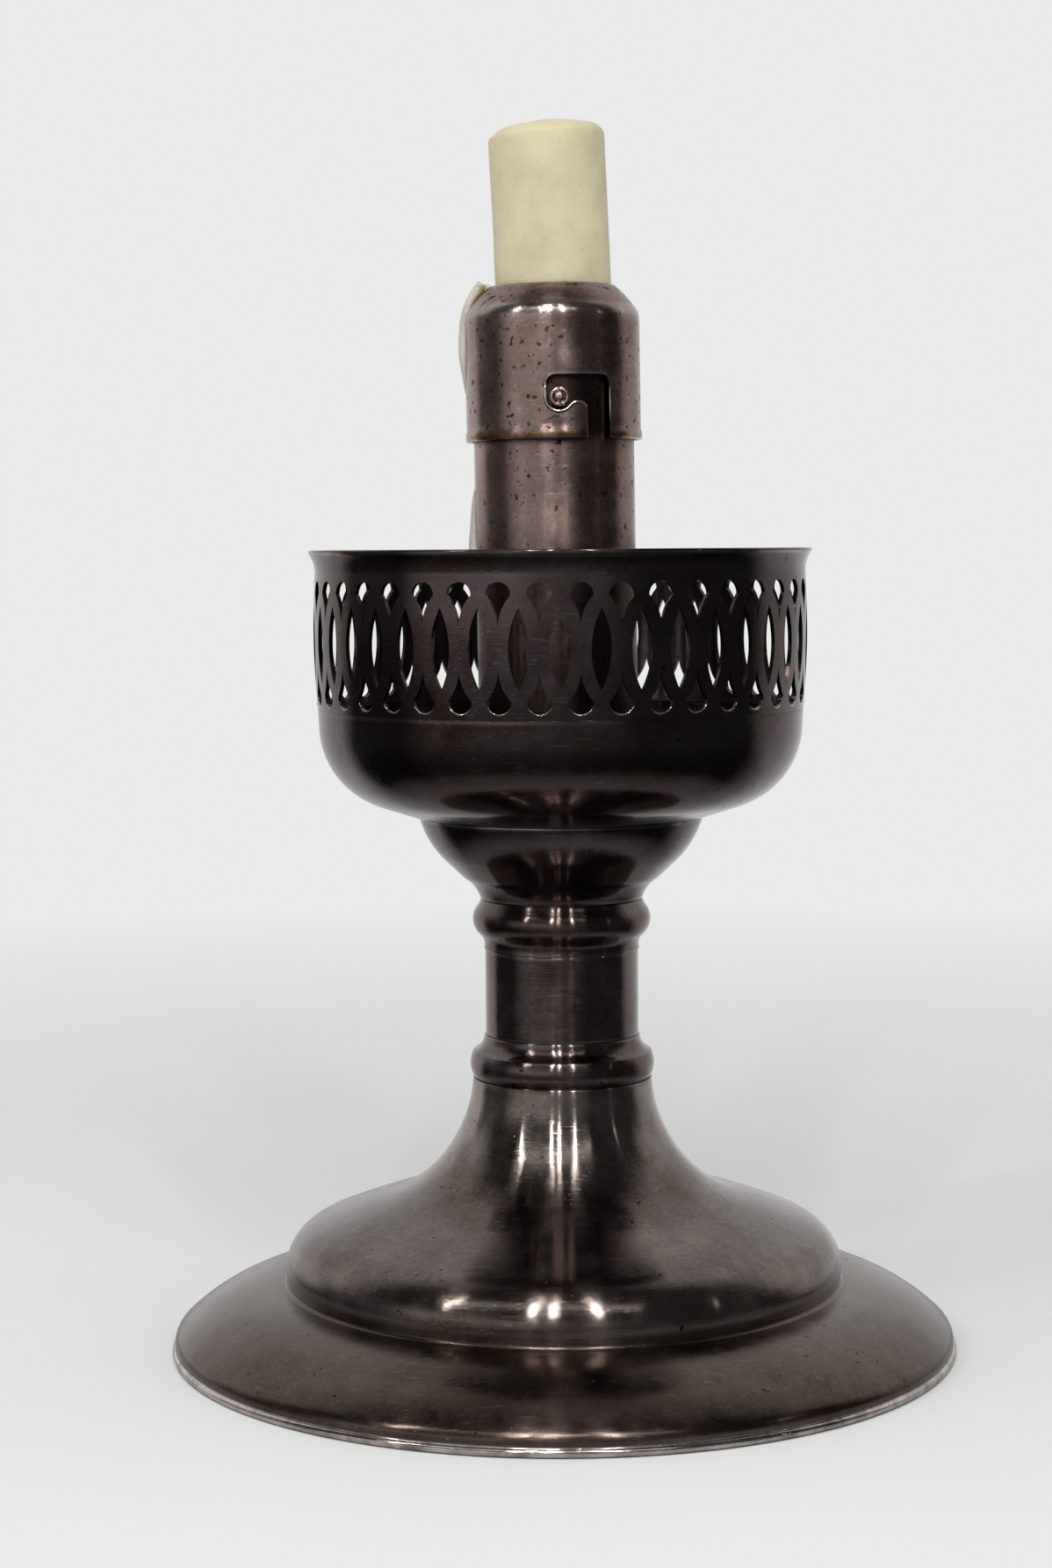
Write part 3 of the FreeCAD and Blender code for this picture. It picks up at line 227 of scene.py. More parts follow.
def walk(corners, step):
    """Places along a closed outline, no further apart than a step"""
    places = []
    for index, start in enumerate(corners):
        finish = corners[(index + 1) % len(corners)]
        share = finish[2] if len(finish) > 2 else 0.0
        chord = math.hypot(finish[0] - start[0], finish[1] - start[1])
        count = max(1, math.ceil(chord / step))
        if share:
            count = max(6, count)
        places += [arc_place(start, finish, share, k / count) for k in range(count)]
    return places


def section(bm, corners, step):
    """The wire of a half section, on the plane of X and Z, in metres"""
    ring = [bm.verts.new((r * MM, 0.0, z * MM)) for r, z in walk(corners, step)]
    edges = [bm.edges.new(pair) for pair in zip(ring, ring[1:] + ring[:1])]
    return ring + edges


def round_edges(bm, width, least_deg=33.0, segments=2):
    """Round the edges where faces meet at an angle"""
    limit = math.radians(least_deg)
    edges = [e for e in bm.edges if len(e.link_faces) == 2 and e.calc_face_angle(0.0) > limit]
    if width > 0 and edges:
        bmesh.ops.bevel(bm, geom=edges, offset=width, offset_type="OFFSET", segments=segments, profile=0.5,
                        affect="EDGES", clamp_overlap=True, material=-1)


def wear(bm, depth, size, seed=0.0):
    """Shallow hollows, always inwards, so that reflections waver as on real sheet"""
    bm.normal_update()
    shift = Vector((seed, seed * 1.7, seed * 0.6))
    moves = []
    for vert in bm.verts:
        slow = noise.noise(vert.co / size + shift)
        quick = noise.noise(vert.co / (size * 0.31) + shift)
        moves.append(-vert.normal * depth * min(1.0, max(0.0, 0.5 + 0.65 * slow + 0.25 * quick)))
    for vert, move in zip(bm.verts, moves):
        vert.co += move


def marks_layer(bm, name):
    """The vertices' layer of marks of that name"""
    return bm.verts.layers.float.get(name) or bm.verts.layers.float.new(name)


def mark_zones(bm, name, zones):
    """Mark zones on the vertices: least radius, low, high, softness in millimetres, and share"""
    layer = marks_layer(bm, name)
    for vert in bm.verts:
        reach = math.hypot(vert.co.x, vert.co.y) / MM
        height = vert.co.z / MM
        for least, low, high, soft, share in zones:
            near = min(1.0, (height - low) / soft, (high - height) / soft)
            if reach > least and near > 0:
                vert[layer] = max(vert[layer], share * near)


def mark_worn_and_highlit(bm, within=None, least_deg=14.0, full_deg=48.0):
    """Mark the outer edges, which handling keeps bright and which are also painted as highlights, between
    heights if they are given
    """
    layer = marks_layer(bm, "worn_and_highlit")
    bm.normal_update()
    for edge in bm.edges:
        if len(edge.link_faces) == 2 and edge.is_convex:
            angle = math.degrees(edge.calc_face_angle(0.0))
            share = min(1.0, max(0.0, (angle - least_deg) / (full_deg - least_deg)))
            for vert in edge.verts:
                if within is None or any(low < vert.co.z / MM < high for low, high in within):
                    vert[layer] = max(vert[layer], share)


def lathe(corners, step=1.5, edge=None, depth=None, seed=0.0, steps=None):
    """A turned shape, with its edges rounded and its surface a little uneven"""
    bm = bmesh.new()
    wire = section(bm, corners, step)
    bmesh.ops.spin(bm, geom=wire, cent=(0, 0, 0), axis=(0, 0, 1), angle=2 * math.pi,
                   steps=steps or sizes().lathe_steps, use_merge=True, use_duplicate=False)
    bmesh.ops.remove_doubles(bm, verts=bm.verts, dist=1e-6)
    bmesh.ops.dissolve_degenerate(bm, dist=1e-7, edges=bm.edges)
    bmesh.ops.recalc_face_normals(bm, faces=bm.faces)
    round_edges(bm, sizes().edge_round if edge is None else edge)
    wear(bm, sizes().unevenness if depth is None else depth, 0.013, seed)
    return bm


def strand(bm, places, segments=28):
    """A closed strand through round sections, each placed by a matrix; its vertices are returned"""
    rings, verts = [], []
    for place in places:
        made = bmesh.ops.create_circle(bm, cap_ends=False, segments=segments, radius=1.0)
        bmesh.ops.transform(bm, matrix=place, verts=made["verts"])
        rings.append(list({edge for vert in made["verts"] for edge in vert.link_edges}))
        verts += made["verts"]
    for ring, following in zip(rings, rings[1:]):
        bmesh.ops.bridge_loops(bm, edges=ring + following)
    for ring in (rings[0], rings[-1]):
        bmesh.ops.edgeloop_fill(bm, edges=ring)
    return verts


def bright_bead(bm, path, reach, turn=0.0):
    """A thin bead on a round wall, marked fully worn so that it is painted bright as a highlight: path of
    width, height and thickness, at an angle from the front
    """
    places = []
    for index, (x, z, thick) in enumerate(path):
        before, after = path[max(0, index - 1)], path[min(len(path) - 1, index + 1)]
        slope = math.atan2(after[1] - before[1], after[0] - before[0])
        places.append(Matrix.Rotation(turn + math.asin(x / reach), 4, "Z")
                      @ Matrix.Translation((0, -reach * MM, z * MM))
                      @ Matrix.Rotation(math.pi / 2 - slope, 4, "Y")
                      @ Matrix.Scale(thick * MM, 4))
    layer = marks_layer(bm, "worn_and_highlit")
    for vert in strand(bm, places, 10):
        vert[layer] = 1.0


def repeat_round(bm, count):
    """Repeat all that is there at even steps round the axis"""
    first = bm.verts[:] + bm.edges[:] + bm.faces[:]
    for index in range(1, count):
        copied = bmesh.ops.duplicate(bm, geom=first)
        verts = [item for item in copied["geom"] if isinstance(item, bmesh.types.BMVert)]
        turn = Matrix.Rotation(index * (2 * math.pi / count), 3, "Z")
        bmesh.ops.rotate(bm, verts=verts, cent=(0, 0, 0), matrix=turn)


def made_mesh(name, bm):
    """The bmesh as a mesh; the bmesh is freed"""
    mesh = bpy.data.meshes.new(name)
    bm.to_mesh(mesh)
    bm.free()
    return mesh


def new_object(name, data):
    made = bpy.data.objects.new(name, data)
    bpy.context.scene.collection.objects.link(made)
    return made


def as_piece(name, bm, finish, body, node, sharp_deg=40.0, rubbed_and_highlit=(), shade_and_darkening_zones=(), worn_and_highlit_within=None):
    """Make a finished piece that rides on a body and stands for its CAD node"""
    mark_worn_and_highlit(bm, worn_and_highlit_within)
    mark_zones(bm, "worn_and_highlit", rubbed_and_highlit)
    mark_zones(bm, "shade_and_darkening", shade_and_darkening_zones)
    limit = math.radians(sharp_deg)
    for face in bm.faces:
        face.smooth = True
    for edge in bm.edges:
        edge.smooth = not (len(edge.link_faces) == 2 and edge.calc_face_angle(0.0) > limit)
    mesh = made_mesh(name, bm)
    mesh.materials.append(material(finish))
    piece = new_object(name, mesh)
    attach(piece, body)
    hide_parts(node)
    return piece


def evaluated(piece):
    """The piece's mesh as its modifiers leave it, in a new bmesh; the piece is removed"""
    bpy.context.view_layer.update()
    shown = piece.evaluated_get(bpy.context.evaluated_depsgraph_get())
    bm = bmesh.new()
    bm.from_mesh(shown.to_mesh())
    shown.to_mesh_clear()
    bpy.data.objects.remove(piece)
    return bm


def cutter(name, outline, place, near, far):
    """A prism over a flat outline of X and Z, from a near to a far distance in front"""
    bm = bmesh.new()
    ring = [bm.verts.new((x, -near, z)) for x, z in outline]
    face = bm.faces.new(ring)
    grown = bmesh.ops.extrude_face_region(bm, geom=[face])
    moved = [item for item in grown["geom"] if isinstance(item, bmesh.types.BMVert)]
    bmesh.ops.translate(bm, verts=moved, vec=(0, near - far, 0))
    bmesh.ops.recalc_face_normals(bm, faces=bm.faces)
    bmesh.ops.transform(bm, matrix=place, verts=bm.verts)
    return new_object(name, made_mesh(name, bm))


def cut(bm, cutters):
    """The shape less its cutters"""
    blank = new_object("blank", made_mesh("blank", bm))
    for tool in cutters:
        step = blank.modifiers.new(tool.name, "BOOLEAN")
        step.operation = "DIFFERENCE"
        step.solver = "EXACT"
        step.object = tool
    result = evaluated(blank)
    for tool in cutters:
        bpy.data.objects.remove(tool)
    return result


# Materials
class Nodes:
    """The nodes of a material or a world, with short ways to add and join them"""

    def __init__(self, owner):
        owner.use_nodes = True
        self.owner = owner
        self.nodes = owner.node_tree.nodes
        self.links = owner.node_tree.links
        self.nodes.clear()

    def add(self, kind, inputs=(), **settings):
        """A node with its settings, and its inputs as numbers, colours or other nodes"""
        node = self.nodes.new(kind)
        for name, setting in settings.items():
            setattr(node, name, setting)
        for key, given in dict(inputs).items():
            socket = node.inputs[key]
            if isinstance(given, bpy.types.Node):
                given = given.outputs[0]
            if isinstance(given, bpy.types.NodeSocket):
                self.links.new(given, socket)
            else:
                socket.default_value = given
        return node

    def coords(self):
        return self.add("ShaderNodeTexCoord").outputs["Object"]

    def placed(self, vector, scale=(1, 1, 1), turn=(0, 0, 0), shift=(0, 0, 0)):
        return self.add("ShaderNodeMapping", {"Vector": vector, "Scale": scale, "Rotation": turn,
                                              "Location": shift})

    def noise(self, vector, scale, detail=3.0, rough=0.5, fourth=None):
        """A noise, which also changes along a fourth way if that is given"""
        inputs = {"Vector": vector, "Scale": scale, "Detail": detail, "Roughness": rough}
        if fourth is None:
            return self.add("ShaderNodeTexNoise", inputs)
        return self.add("ShaderNodeTexNoise", {**inputs, "W": fourth}, noise_dimensions="4D")

    def math(self, operation, first, second=0.0, clamp=False):
        return self.add("ShaderNodeMath", {0: first, 1: second}, operation=operation, use_clamp=clamp)

    def split(self, vector):
        """The three parts of a vector"""
        return self.add("ShaderNodeSeparateXYZ", {0: vector}).outputs

    def spread(self, given, low, high, new_low=0.0, new_high=1.0):
        return self.add("ShaderNodeMapRange", {"Value": given, "From Min": low, "From Max": high,
                                               "To Min": new_low, "To Max": new_high})

    def ramp(self, given, stops):
        node = self.add("ShaderNodeValToRGB", {"Fac": given})
        marks = node.color_ramp.elements
        while len(marks) < len(stops):
            marks.new(0.5)
        for mark, (place, colour) in zip(marks, stops):
            mark.position = place
            mark.color = (*colour, 1.0)
        return node

    def rays(self):
        """Whether a ray comes from the camera, and whether by way of gloss or glass"""
        path = self.add("ShaderNodeLightPath").outputs
        return path["Is Camera Ray"], self.math("MAXIMUM", path["Is Glossy Ray"], path["Is Transmission Ray"])

    def all_round(self, x, y, levels):
        """Grey levels at angles in degrees to the right of the front"""
        turn = self.math("ARCTAN2", x, self.math("MULTIPLY", y, -1.0))
        return self.ramp(self.spread(turn, -math.pi, math.pi),
                         [((degrees + 180) / 360, (level, level, level)) for degrees, level in levels])

    def mix(self, share, first, second):
        """A mix of two colours, each given as three numbers or as another node"""
        first, second = ((*given, 1.0) if isinstance(given, tuple) else given for given in (first, second))
        return self.add("ShaderNodeMix", {0: share, 6: first, 7: second}, data_type="RGBA").outputs[2]

    def bump(self, height, strength, distance, normal=None):
        inputs = {"Height": height, "Strength": strength, "Distance": distance}
        if normal is not None:
            inputs["Normal"] = normal
        return self.add("ShaderNodeBump", inputs)

    def finish(self, **inputs):
        """Close with a shader whose inputs are named with underscores"""
        shader = self.add("ShaderNodeBsdfPrincipled",
                          {key.replace("_", " "): given for key, given in inputs.items()})
        self.add("ShaderNodeOutputMaterial", {"Surface": shader})
        return self.owner


def finish_nodes(name):
    return Nodes(bpy.data.materials.new(name))


def tinted(colour, factor, warm=0.0):
    """A colour made lighter or darker, and warmer"""
    red, green, blue = colour
    made = (red * factor * (1 + warm), green * factor, blue * factor * (1 - warm))
    return tuple(min(1.0, part) for part in made)


# How much slower the marks change along their way than across it
ALONG_MARKS = 0.02

# Scales of the finishes' patterns, in features per metre
CLOUD_SCALE = 34
BLOTCH_SCALE = 150
GRAIN_SCALE = 1100
PIT_SCALE = 620
MARK_SCALE = 900
FINE_MARK_SCALE = 3600


def turned_marks(finish, where, fine):
    """Fine marks that run round the axis, as a lathe and long polishing leave them"""
    x, y, z = finish.split(where)
    squares = finish.math("ADD", finish.math("MULTIPLY", x, x), finish.math("MULTIPLY", y, y))
    slow = finish.add("ShaderNodeCombineXYZ", {
        "X": finish.math("MULTIPLY", x, ALONG_MARKS), "Y": finish.math("MULTIPLY", y, ALONG_MARKS), "Z": z})
    return finish.noise(slow, fine, 2.0, 0.6, finish.math("SQRT", squares))


def scratches(finish, where, turn, seed):
    """Sparse thin scratches along one direction"""
    stretched = finish.placed(where, (60, 2600, 2600), turn, (seed, seed * 2, seed * 3))
    return finish.spread(finish.noise(stretched, 1.0, 1.0, 0.4), 0.68, 0.74)


def plated(name, colour, rough, contrast=1.0, brown=0.15, brass_below=None, edges=0.35, brushed=1.0,
           pitted=0.7):
    """Tarnished plate: clouds and blotches of tarnish, turning marks, scratches, pits, grime and painted
    shade in hollows, painted shade where marked, and lighter worn plate that is also painted highlight
    """
    f = finish_nodes(name)
    where = f.coords()
    clouds = f.noise(where, CLOUD_SCALE, 5.0, 0.55)
    blotches = f.noise(f.placed(where, shift=(3.1, 1.7, 0.4)), BLOTCH_SCALE, 6.0, 0.65)
    grain = f.noise(where, GRAIN_SCALE, 3.0, 0.6)
    tone = f.math("ADD", f.math("MULTIPLY", clouds, 0.5),
                  f.math("ADD", f.math("MULTIPLY", blotches, 0.32), f.math("MULTIPLY", grain, 0.18)))
    base = f.ramp(tone, [
        (0.36, tinted(colour, 1 - 0.6 * contrast, brown)),
        (0.47, tinted(colour, 1 - 0.12 * contrast, brown * 0.5)),
        (0.54, tinted(colour, 1 + 0.2 * contrast)),
        (0.66, tinted(colour, 1 + 0.95 * contrast, brown * 0.6))])
    marks = turned_marks(f, where, MARK_SCALE)
    fine_marks = f.math("MULTIPLY", f.spread(marks, 0.35, 0.65), 0.14)
    base = f.mix(fine_marks, base, tinted(colour, 1 + 0.8 * contrast, brown * 0.4))
    long_scratch = f.math("ADD", scratches(f, where, (0.3, 0.5, 0.9), 1.3),
                          scratches(f, where, (1.2, 0.2, 2.2), 4.1), clamp=True)
    base = f.mix(f.math("MULTIPLY", long_scratch, 0.45), base, tinted(colour, 2.6, 0.05))
    pits = f.noise(f.placed(where, shift=(0.7, 5.3, 2.9)), PIT_SCALE, 2.0, 0.5)
    pits = f.spread(pits, pitted, pitted + 0.06)
    # Darker, rougher plate in hollows found by occlusion: partly grime, partly painted shade
    hollow = f.add("ShaderNodeAmbientOcclusion", {"Distance": 0.005}, samples=8).outputs["AO"]
    hollow_grime_and_shade = f.math("MULTIPLY", f.spread(hollow, 0.82, 0.35), 0.8, clamp=True)
    base = f.mix(f.math("MAXIMUM", pits, hollow_grime_and_shade), base, tinted(colour, 0.22, 0.3))
    low, high = rough
    roughness = f.math("ADD", f.spread(blotches, 0.34, 0.66, low, high),
                       f.math("MULTIPLY", f.math("ADD", hollow_grime_and_shade, pits), 0.25), clamp=True)
    if brass_below:
        bare_from, bare_to = brass_below
        _, back, height = f.split(where)
        ragged = f.math("MULTIPLY", f.math("SUBTRACT", f.noise(where, 260, 5.0, 0.6), 0.5), 0.006)
        bare = f.spread(f.math("ADD", height, ragged), bare_to, bare_from)
        bare = f.math("MULTIPLY", bare, f.spread(back, 0.002, -0.009), clamp=True)
        base = f.mix(bare, base, f.ramp(f.noise(where, 420, 4.0), [
            (0.38, tinted(colours().brass, 0.35)), (0.62, tuple(colours().brass))]))
    # Marked edges and zones get the lighter worn plate: partly real wear, partly painted highlight; edges
    # sets how much
    rubbed_and_highlit = f.add("ShaderNodeAttribute", attribute_name="worn_and_highlit").outputs["Fac"]
    patchy = f.math("MULTIPLY", rubbed_and_highlit, f.spread(blotches, 0.36, 0.56, 0.35, 1.0))
    bright = f.math("MULTIPLY", patchy, edges)
    base = f.mix(bright, base, tuple(colours().worn_and_highlit))
    # Painted shade: darker plate where marked, as under the cap's mouth and in its slots
    shade_and_darkening = f.add("ShaderNodeAttribute", attribute_name="shade_and_darkening").outputs["Fac"]
    base = f.mix(shade_and_darkening, base, tinted(colour, 0.1, 0.2))
    roughness = f.math("MULTIPLY", roughness, f.spread(bright, 0.0, 0.6, 1.0, 0.55))
    dents = f.math("ADD", f.math("MULTIPLY", long_scratch, 0.5), f.math("MULTIPLY", pits, 0.9))
    relief = f.math("ADD", f.math("MULTIPLY", marks, 0.2),
                    f.math("SUBTRACT", f.math("MULTIPLY", grain, 0.25), dents))
    normal = f.bump(clouds, 0.03, 1.2 * MM)
    normal = f.bump(relief, 0.2, 0.06 * MM, normal)
    normal = f.bump(turned_marks(f, where, FINE_MARK_SCALE), 0.6 * brushed, 0.04 * MM, normal)
    round_axis = f.add("ShaderNodeTangent", direction_type="RADIAL", axis="Z")
    return f.finish(Base_Color=base, Metallic=1.0, Roughness=roughness, Normal=normal, Tangent=round_axis,
                    Anisotropic=min(1.0, 0.72 + 0.28 * brushed), Anisotropic_Rotation=0.25)


def plain_metal(name, colour, rough):
    """Dull steel or brass of the hidden pieces"""
    f = finish_nodes(name)
    where = f.coords()
    clouds = f.noise(where, 240, 5.0, 0.6)
    base = f.ramp(clouds, [(0.35, tinted(colour, 0.5, 0.2)), (0.65, tinted(colour, 1.2))])
    normal = f.bump(turned_marks(f, where, 1300), 0.25, 0.00008)
    return f.finish(Base_Color=base, Metallic=1.0, Roughness=f.spread(clouds, 0.3, 0.7, rough, rough + 0.2),
                    Normal=normal)


def waxen(name, colour):
    """Old candle wax: cloudy, slightly translucent, with dust and rubbed places"""
    f = finish_nodes(name)
    where = f.coords()
    clouds = f.noise(where, 120, 5.0, 0.6)
    specks = f.noise(where, 900, 3.0, 0.6)
    base = f.ramp(clouds, [
        (0.3, tinted(colour, 0.86, 0.03)), (0.5, tuple(colour)), (0.72, tinted(colour, 1.1))])
    base = f.mix(f.math("MULTIPLY", f.spread(specks, 0.62, 0.72), 0.4), base, tinted(colour, 0.6, 0.1))
    lumps = f.bump(clouds, 0.35, 0.0009)
    normal = f.bump(specks, 0.35, 0.00012, lumps)
    return f.finish(Base_Color=base, Roughness=f.spread(clouds, 0.3, 0.7, 0.38, 0.58), Normal=normal,
                    Subsurface_Weight=0.55, Subsurface_Radius=(0.006, 0.0045, 0.002), Subsurface_Scale=1.0,
                    IOR=1.44)


def fibrous(name, colour, scale, rough=0.95):
    """Felt, cotton or rough filling"""
    f = finish_nodes(name)
    where = f.coords()
    tufts = f.noise(where, scale, 6.0, 0.7)
    base = f.ramp(tufts, [(0.3, tinted(colour, 0.55)), (0.7, tinted(colour, 1.5))])
    return f.finish(Base_Color=base, Roughness=rough, Normal=f.bump(tufts, 0.8, 0.0004))


MATERIALS = {}


def material(key):
    """Each finish is made once"""
    if key not in MATERIALS:
        c = colours()
        makers = {
            "satin": lambda: plated("satin_plate", c.satin, (0.17, 0.27), 0.8, 0.1, edges=0.9, brushed=0.2),
            "plate": lambda: plated("tarnished_plate", c.plate, (0.12, 0.2)),
            "tube": lambda: plated("warm_plate", tinted(c.rosy, 1.02), (0.2, 0.34), brushed=0.3, pitted=0.64),
            "stem": lambda: plated("dark_plate", c.stem, (0.12, 0.22)),
            "bowl": lambda: plated("black_tarnish", c.bowl, (0.1, 0.18), 0.8, 0.25, edges=0.7, brushed=0.3),
            "cap": lambda: plated("cap_plate", tinted(c.rosy, 1.13), (0.17, 0.32), edges=1.0, brushed=0.2,
                                  pitted=0.62, brass_below=(0.1733, 0.1743)),
            "pin": lambda: plated("pin_metal", tinted(c.rosy, 1.7), (0.12, 0.2), 1.0, 0.2, edges=1.0),
            "steel": lambda: plain_metal("dull_steel", c.steel, 0.35),
            "brass": lambda: plain_metal("dull_brass", c.brass, 0.3),
            "wax": lambda: waxen("candle_wax", c.wax),
            "thin_wax": lambda: waxen("thin_wax", c.thin_wax),
            "wick": lambda: fibrous("burnt_wick", c.wick, 2600),
            "filling": lambda: fibrous("foot_filling", c.filling, 700),
            "felt": lambda: fibrous("green_felt", c.felt, 1500),
        }
        MATERIALS[key] = makers[key]()
    return MATERIALS[key]


class PieceOperator:
    """What the operators share"""
    bl_options = {"REGISTER", "UNDO"}

    def execute(self, context):
        self.make()
        return {"FINISHED"}


class CANDLESTICK_OT_foot(PieceOperator, bpy.types.Operator):
    """Spin the foot: rim, flange, step, dome and trumpet neck"""
    bl_idname = "candlestick.foot"
    bl_label = "Foot"

    def make(self):
        bm = lathe(FOOT_OUTLINE, 1.6, seed=0.3)
        # Zones of lighter worn plate: the dome's shoulder band, the rim's line and the neck's streak are
        # painted highlights as well as wear
        shoulder, rim = (50.3, 16.6, 21.6, 2.0, 0.25), (73.9, 0.1, 2.0, 0.3, 1.0)
        neck = (16.0, 34.0, 56.0, 8.0, 0.6)
        piece = as_piece("spun_foot", bm, "plate", STAND, "foot_shell",
                         rubbed_and_highlit=[shoulder, rim, neck])
        piece.data.materials.append(material("satin"))
        step_reach, step_height = 52.9 * MM, 14.0 * MM
        for face in piece.data.polygons:
            flange = math.hypot(face.center.x, face.center.y) > step_reach and face.center.z < step_height
            face.material_index = 1 if flange else 0


class CANDLESTICK_OT_stem(PieceOperator, bpy.types.Operator):
    """Turn the stem and its two collars"""
    bl_idname = "candlestick.stem"
    bl_label = "Stem and collars"

    def make(self):
        for name, outline, node, seed in (
                ("turned_lower_collar", LOWER_COLLAR_OUTLINE, "lower_collar", 1.1),
                ("round_stem", STEM_OUTLINE, "stem_tube", 2.3),
                ("turned_upper_collar", UPPER_COLLAR_OUTLINE, "upper_collar", 3.7)):
            bm = lathe(outline, 0.9, seed=seed)
            as_piece(name, bm, "stem", STAND, node)


class CANDLESTICK_OT_bowl(PieceOperator, bpy.types.Operator):
    """Spin the bell and the bowl"""
    bl_idname = "candlestick.bowl"
    bl_label = "Bell and bowl"

    def make(self):
        bm = lathe(BELL_OUTLINE, 0.9, seed=4.9)
        as_piece("spun_bell", bm, "bowl", STAND, "bell")
        bm = lathe(BOWL_OUTLINE, 1.2, edge=0.03 * MM, seed=5.3)
        as_piece("spun_bowl", bm, "bowl", STAND, "bowl", worn_and_highlit_within=[])


def lens_outline(low):
    """A pointed lens over a height, in metres"""
    s = sizes()
    share = s.lens_width / 2 / s.lens_length
    return walk([(0.0, low, share), (0.0, low + s.lens_length, share)], 0.5 * MM)


def drop_outline(end, way):
    """A drop with its round end at a height and its point above (1) or below (-1)"""
    s = sizes()
    r = s.drop_radius
    middle = end + r * way
    outline = [(-r, middle, -0.09), (0.0, end, QUARTER_ROUND), (r, middle, QUARTER_ROUND),
               (0.0, end + s.drop_length * way, -0.09)]
    if way < 0:
        outline = [(x * way, z, *share) for x, z, *share in outline]
    return walk(outline, 0.5 * MM)


class CANDLESTICK_OT_gallery(PieceOperator, bpy.types.Operator):
    """Pierce one column of the gallery and repeat it round the band"""
    bl_idname = "candlestick.gallery"
    bl_label = "Pierced gallery"

    def make(self):
        columns = sizes().columns
        pitch = 2 * math.pi / columns
        near, far = 42 * MM, 50 * MM
        aside = math.radians(0.25)  # keeps the column's own edges off the tips of the piercing
        bm = bmesh.new()
        wire = section(bm, BAND_OUTLINE, 1.3)
        start = Matrix.Rotation(aside - math.pi / 2 - pitch / 2, 4, "Z")
        bmesh.ops.transform(bm, matrix=start, verts=bm.verts)
        first = list(bm.edges)
        grown = bmesh.ops.spin(bm, geom=wire, cent=(0, 0, 0), axis=(0, 0, 1), angle=pitch, steps=10,
                               use_merge=False, use_duplicate=False)
        last = [item for item in grown["geom_last"] if isinstance(item, bmesh.types.BMEdge)]
        bmesh.ops.edgeloop_fill(bm, edges=first)
        bmesh.ops.edgeloop_fill(bm, edges=last)
        bmesh.ops.recalc_face_normals(bm, faces=bm.faces)
        foot = BAND_OUTLINE[0][1] * MM
        tools = [cutter("lens", lens_outline(foot + 5.2 * MM), Matrix.Identity(4), near, far)]
        for side in (-1, 1):
            turn = Matrix.Rotation(side * pitch / 2, 4, "Z")
            tools.append(cutter(f"low_drop_{side}", drop_outline(foot + 1.0 * MM, 1), turn, near, far))
            tools.append(cutter(f"high_drop_{side}", drop_outline(foot + 24.3 * MM, -1), turn, near, far))
        bm = cut(bm, tools)
        ends = [f for f in bm.faces
                if all(abs(abs(self.angle(v) - aside) - pitch / 2) < 1e-5 for v in f.verts)]
        bmesh.ops.delete(bm, geom=ends, context="FACES")
        repeat_round(bm, columns)
        bmesh.ops.remove_doubles(bm, verts=bm.verts, dist=4e-6)
        bmesh.ops.recalc_face_normals(bm, faces=bm.faces)
        wear(bm, sizes().unevenness, 0.013, 6.1)
        marks_layer(bm, "worn_and_highlit")
        bm.from_mesh(self.drop_rims(foot / MM + 1.0, pitch, columns))
        # The lip's edges are lightened as worn plate: wear and painted glints
        as_piece("pierced_gallery", bm, "bowl", STAND, "gallery_band",
                 worn_and_highlit_within=[(151.6, 153.0)])

    @staticmethod
    def angle(vert):
        """Angle of a vertex round the axis, from the front"""
        return math.atan2(vert.co.x, -vert.co.y)

    @staticmethod
    def drop_rims(low, pitch, columns):
        """Raised beads on the lower rims of the lower drops, painted bright as highlights"""
        r = sizes().drop_radius / MM
        rim = [(r * math.sin(math.radians(way)), low + r - r * math.cos(math.radians(way)),
                0.03 + 0.13 * math.cos(math.radians(way * 1.2))) for way in range(-70, 71, 10)]
        beads = bmesh.new()
        bright_bead(beads, rim, BAND_REACH, pitch / 2)
        repeat_round(beads, columns)
        return made_mesh("beads", beads)


class CANDLESTICK_OT_tube(PieceOperator, bpy.types.Operator):
    """Turn the candle tube and set it leaning in its socket"""
    bl_idname = "candlestick.tube"
    bl_label = "Candle tube"

    def make(self):
        bm = lathe(TUBE_OUTLINE, 2.0, seed=7.7)
        bmesh.ops.transform(bm, matrix=TUBE_PLACE, verts=bm.verts)
        # Marked darker: the tube up to the gallery's lip, and a painted shadow under the cap's mouth and
        # behind its slots
        in_socket, under_cap = (0, 88.0, 152.4, 7.0, 0.7), (0, 171.8, 200.0, 0.9, 0.85)
        as_piece("candle_holding_tube", bm, "tube", "tube", "candle_tube",
                 shade_and_darkening_zones=[in_socket, under_cap])


def slot_outline():
    """The J slot seen from the front: a notch on the left, a tongue, and the entry on the right"""
    foot = CAP_FOOT
    corners = [(1.45, foot - 2.0), (6.15, foot - 2.0), (6.15, foot + 9.9), (4.35, foot + 11.7, QUARTER_ROUND),
               (-4.4, foot + 11.7), (-6.2, foot + 9.9, QUARTER_ROUND), (-6.2, foot + 7.4),
               (-1.93, foot + 5.9, 0.354), (-0.35, foot + 6.7, -0.113), (1.45, foot + 5.2, -0.18)]
    return [(x * MM, z * MM) for x, z in walk(corners, 0.45)]


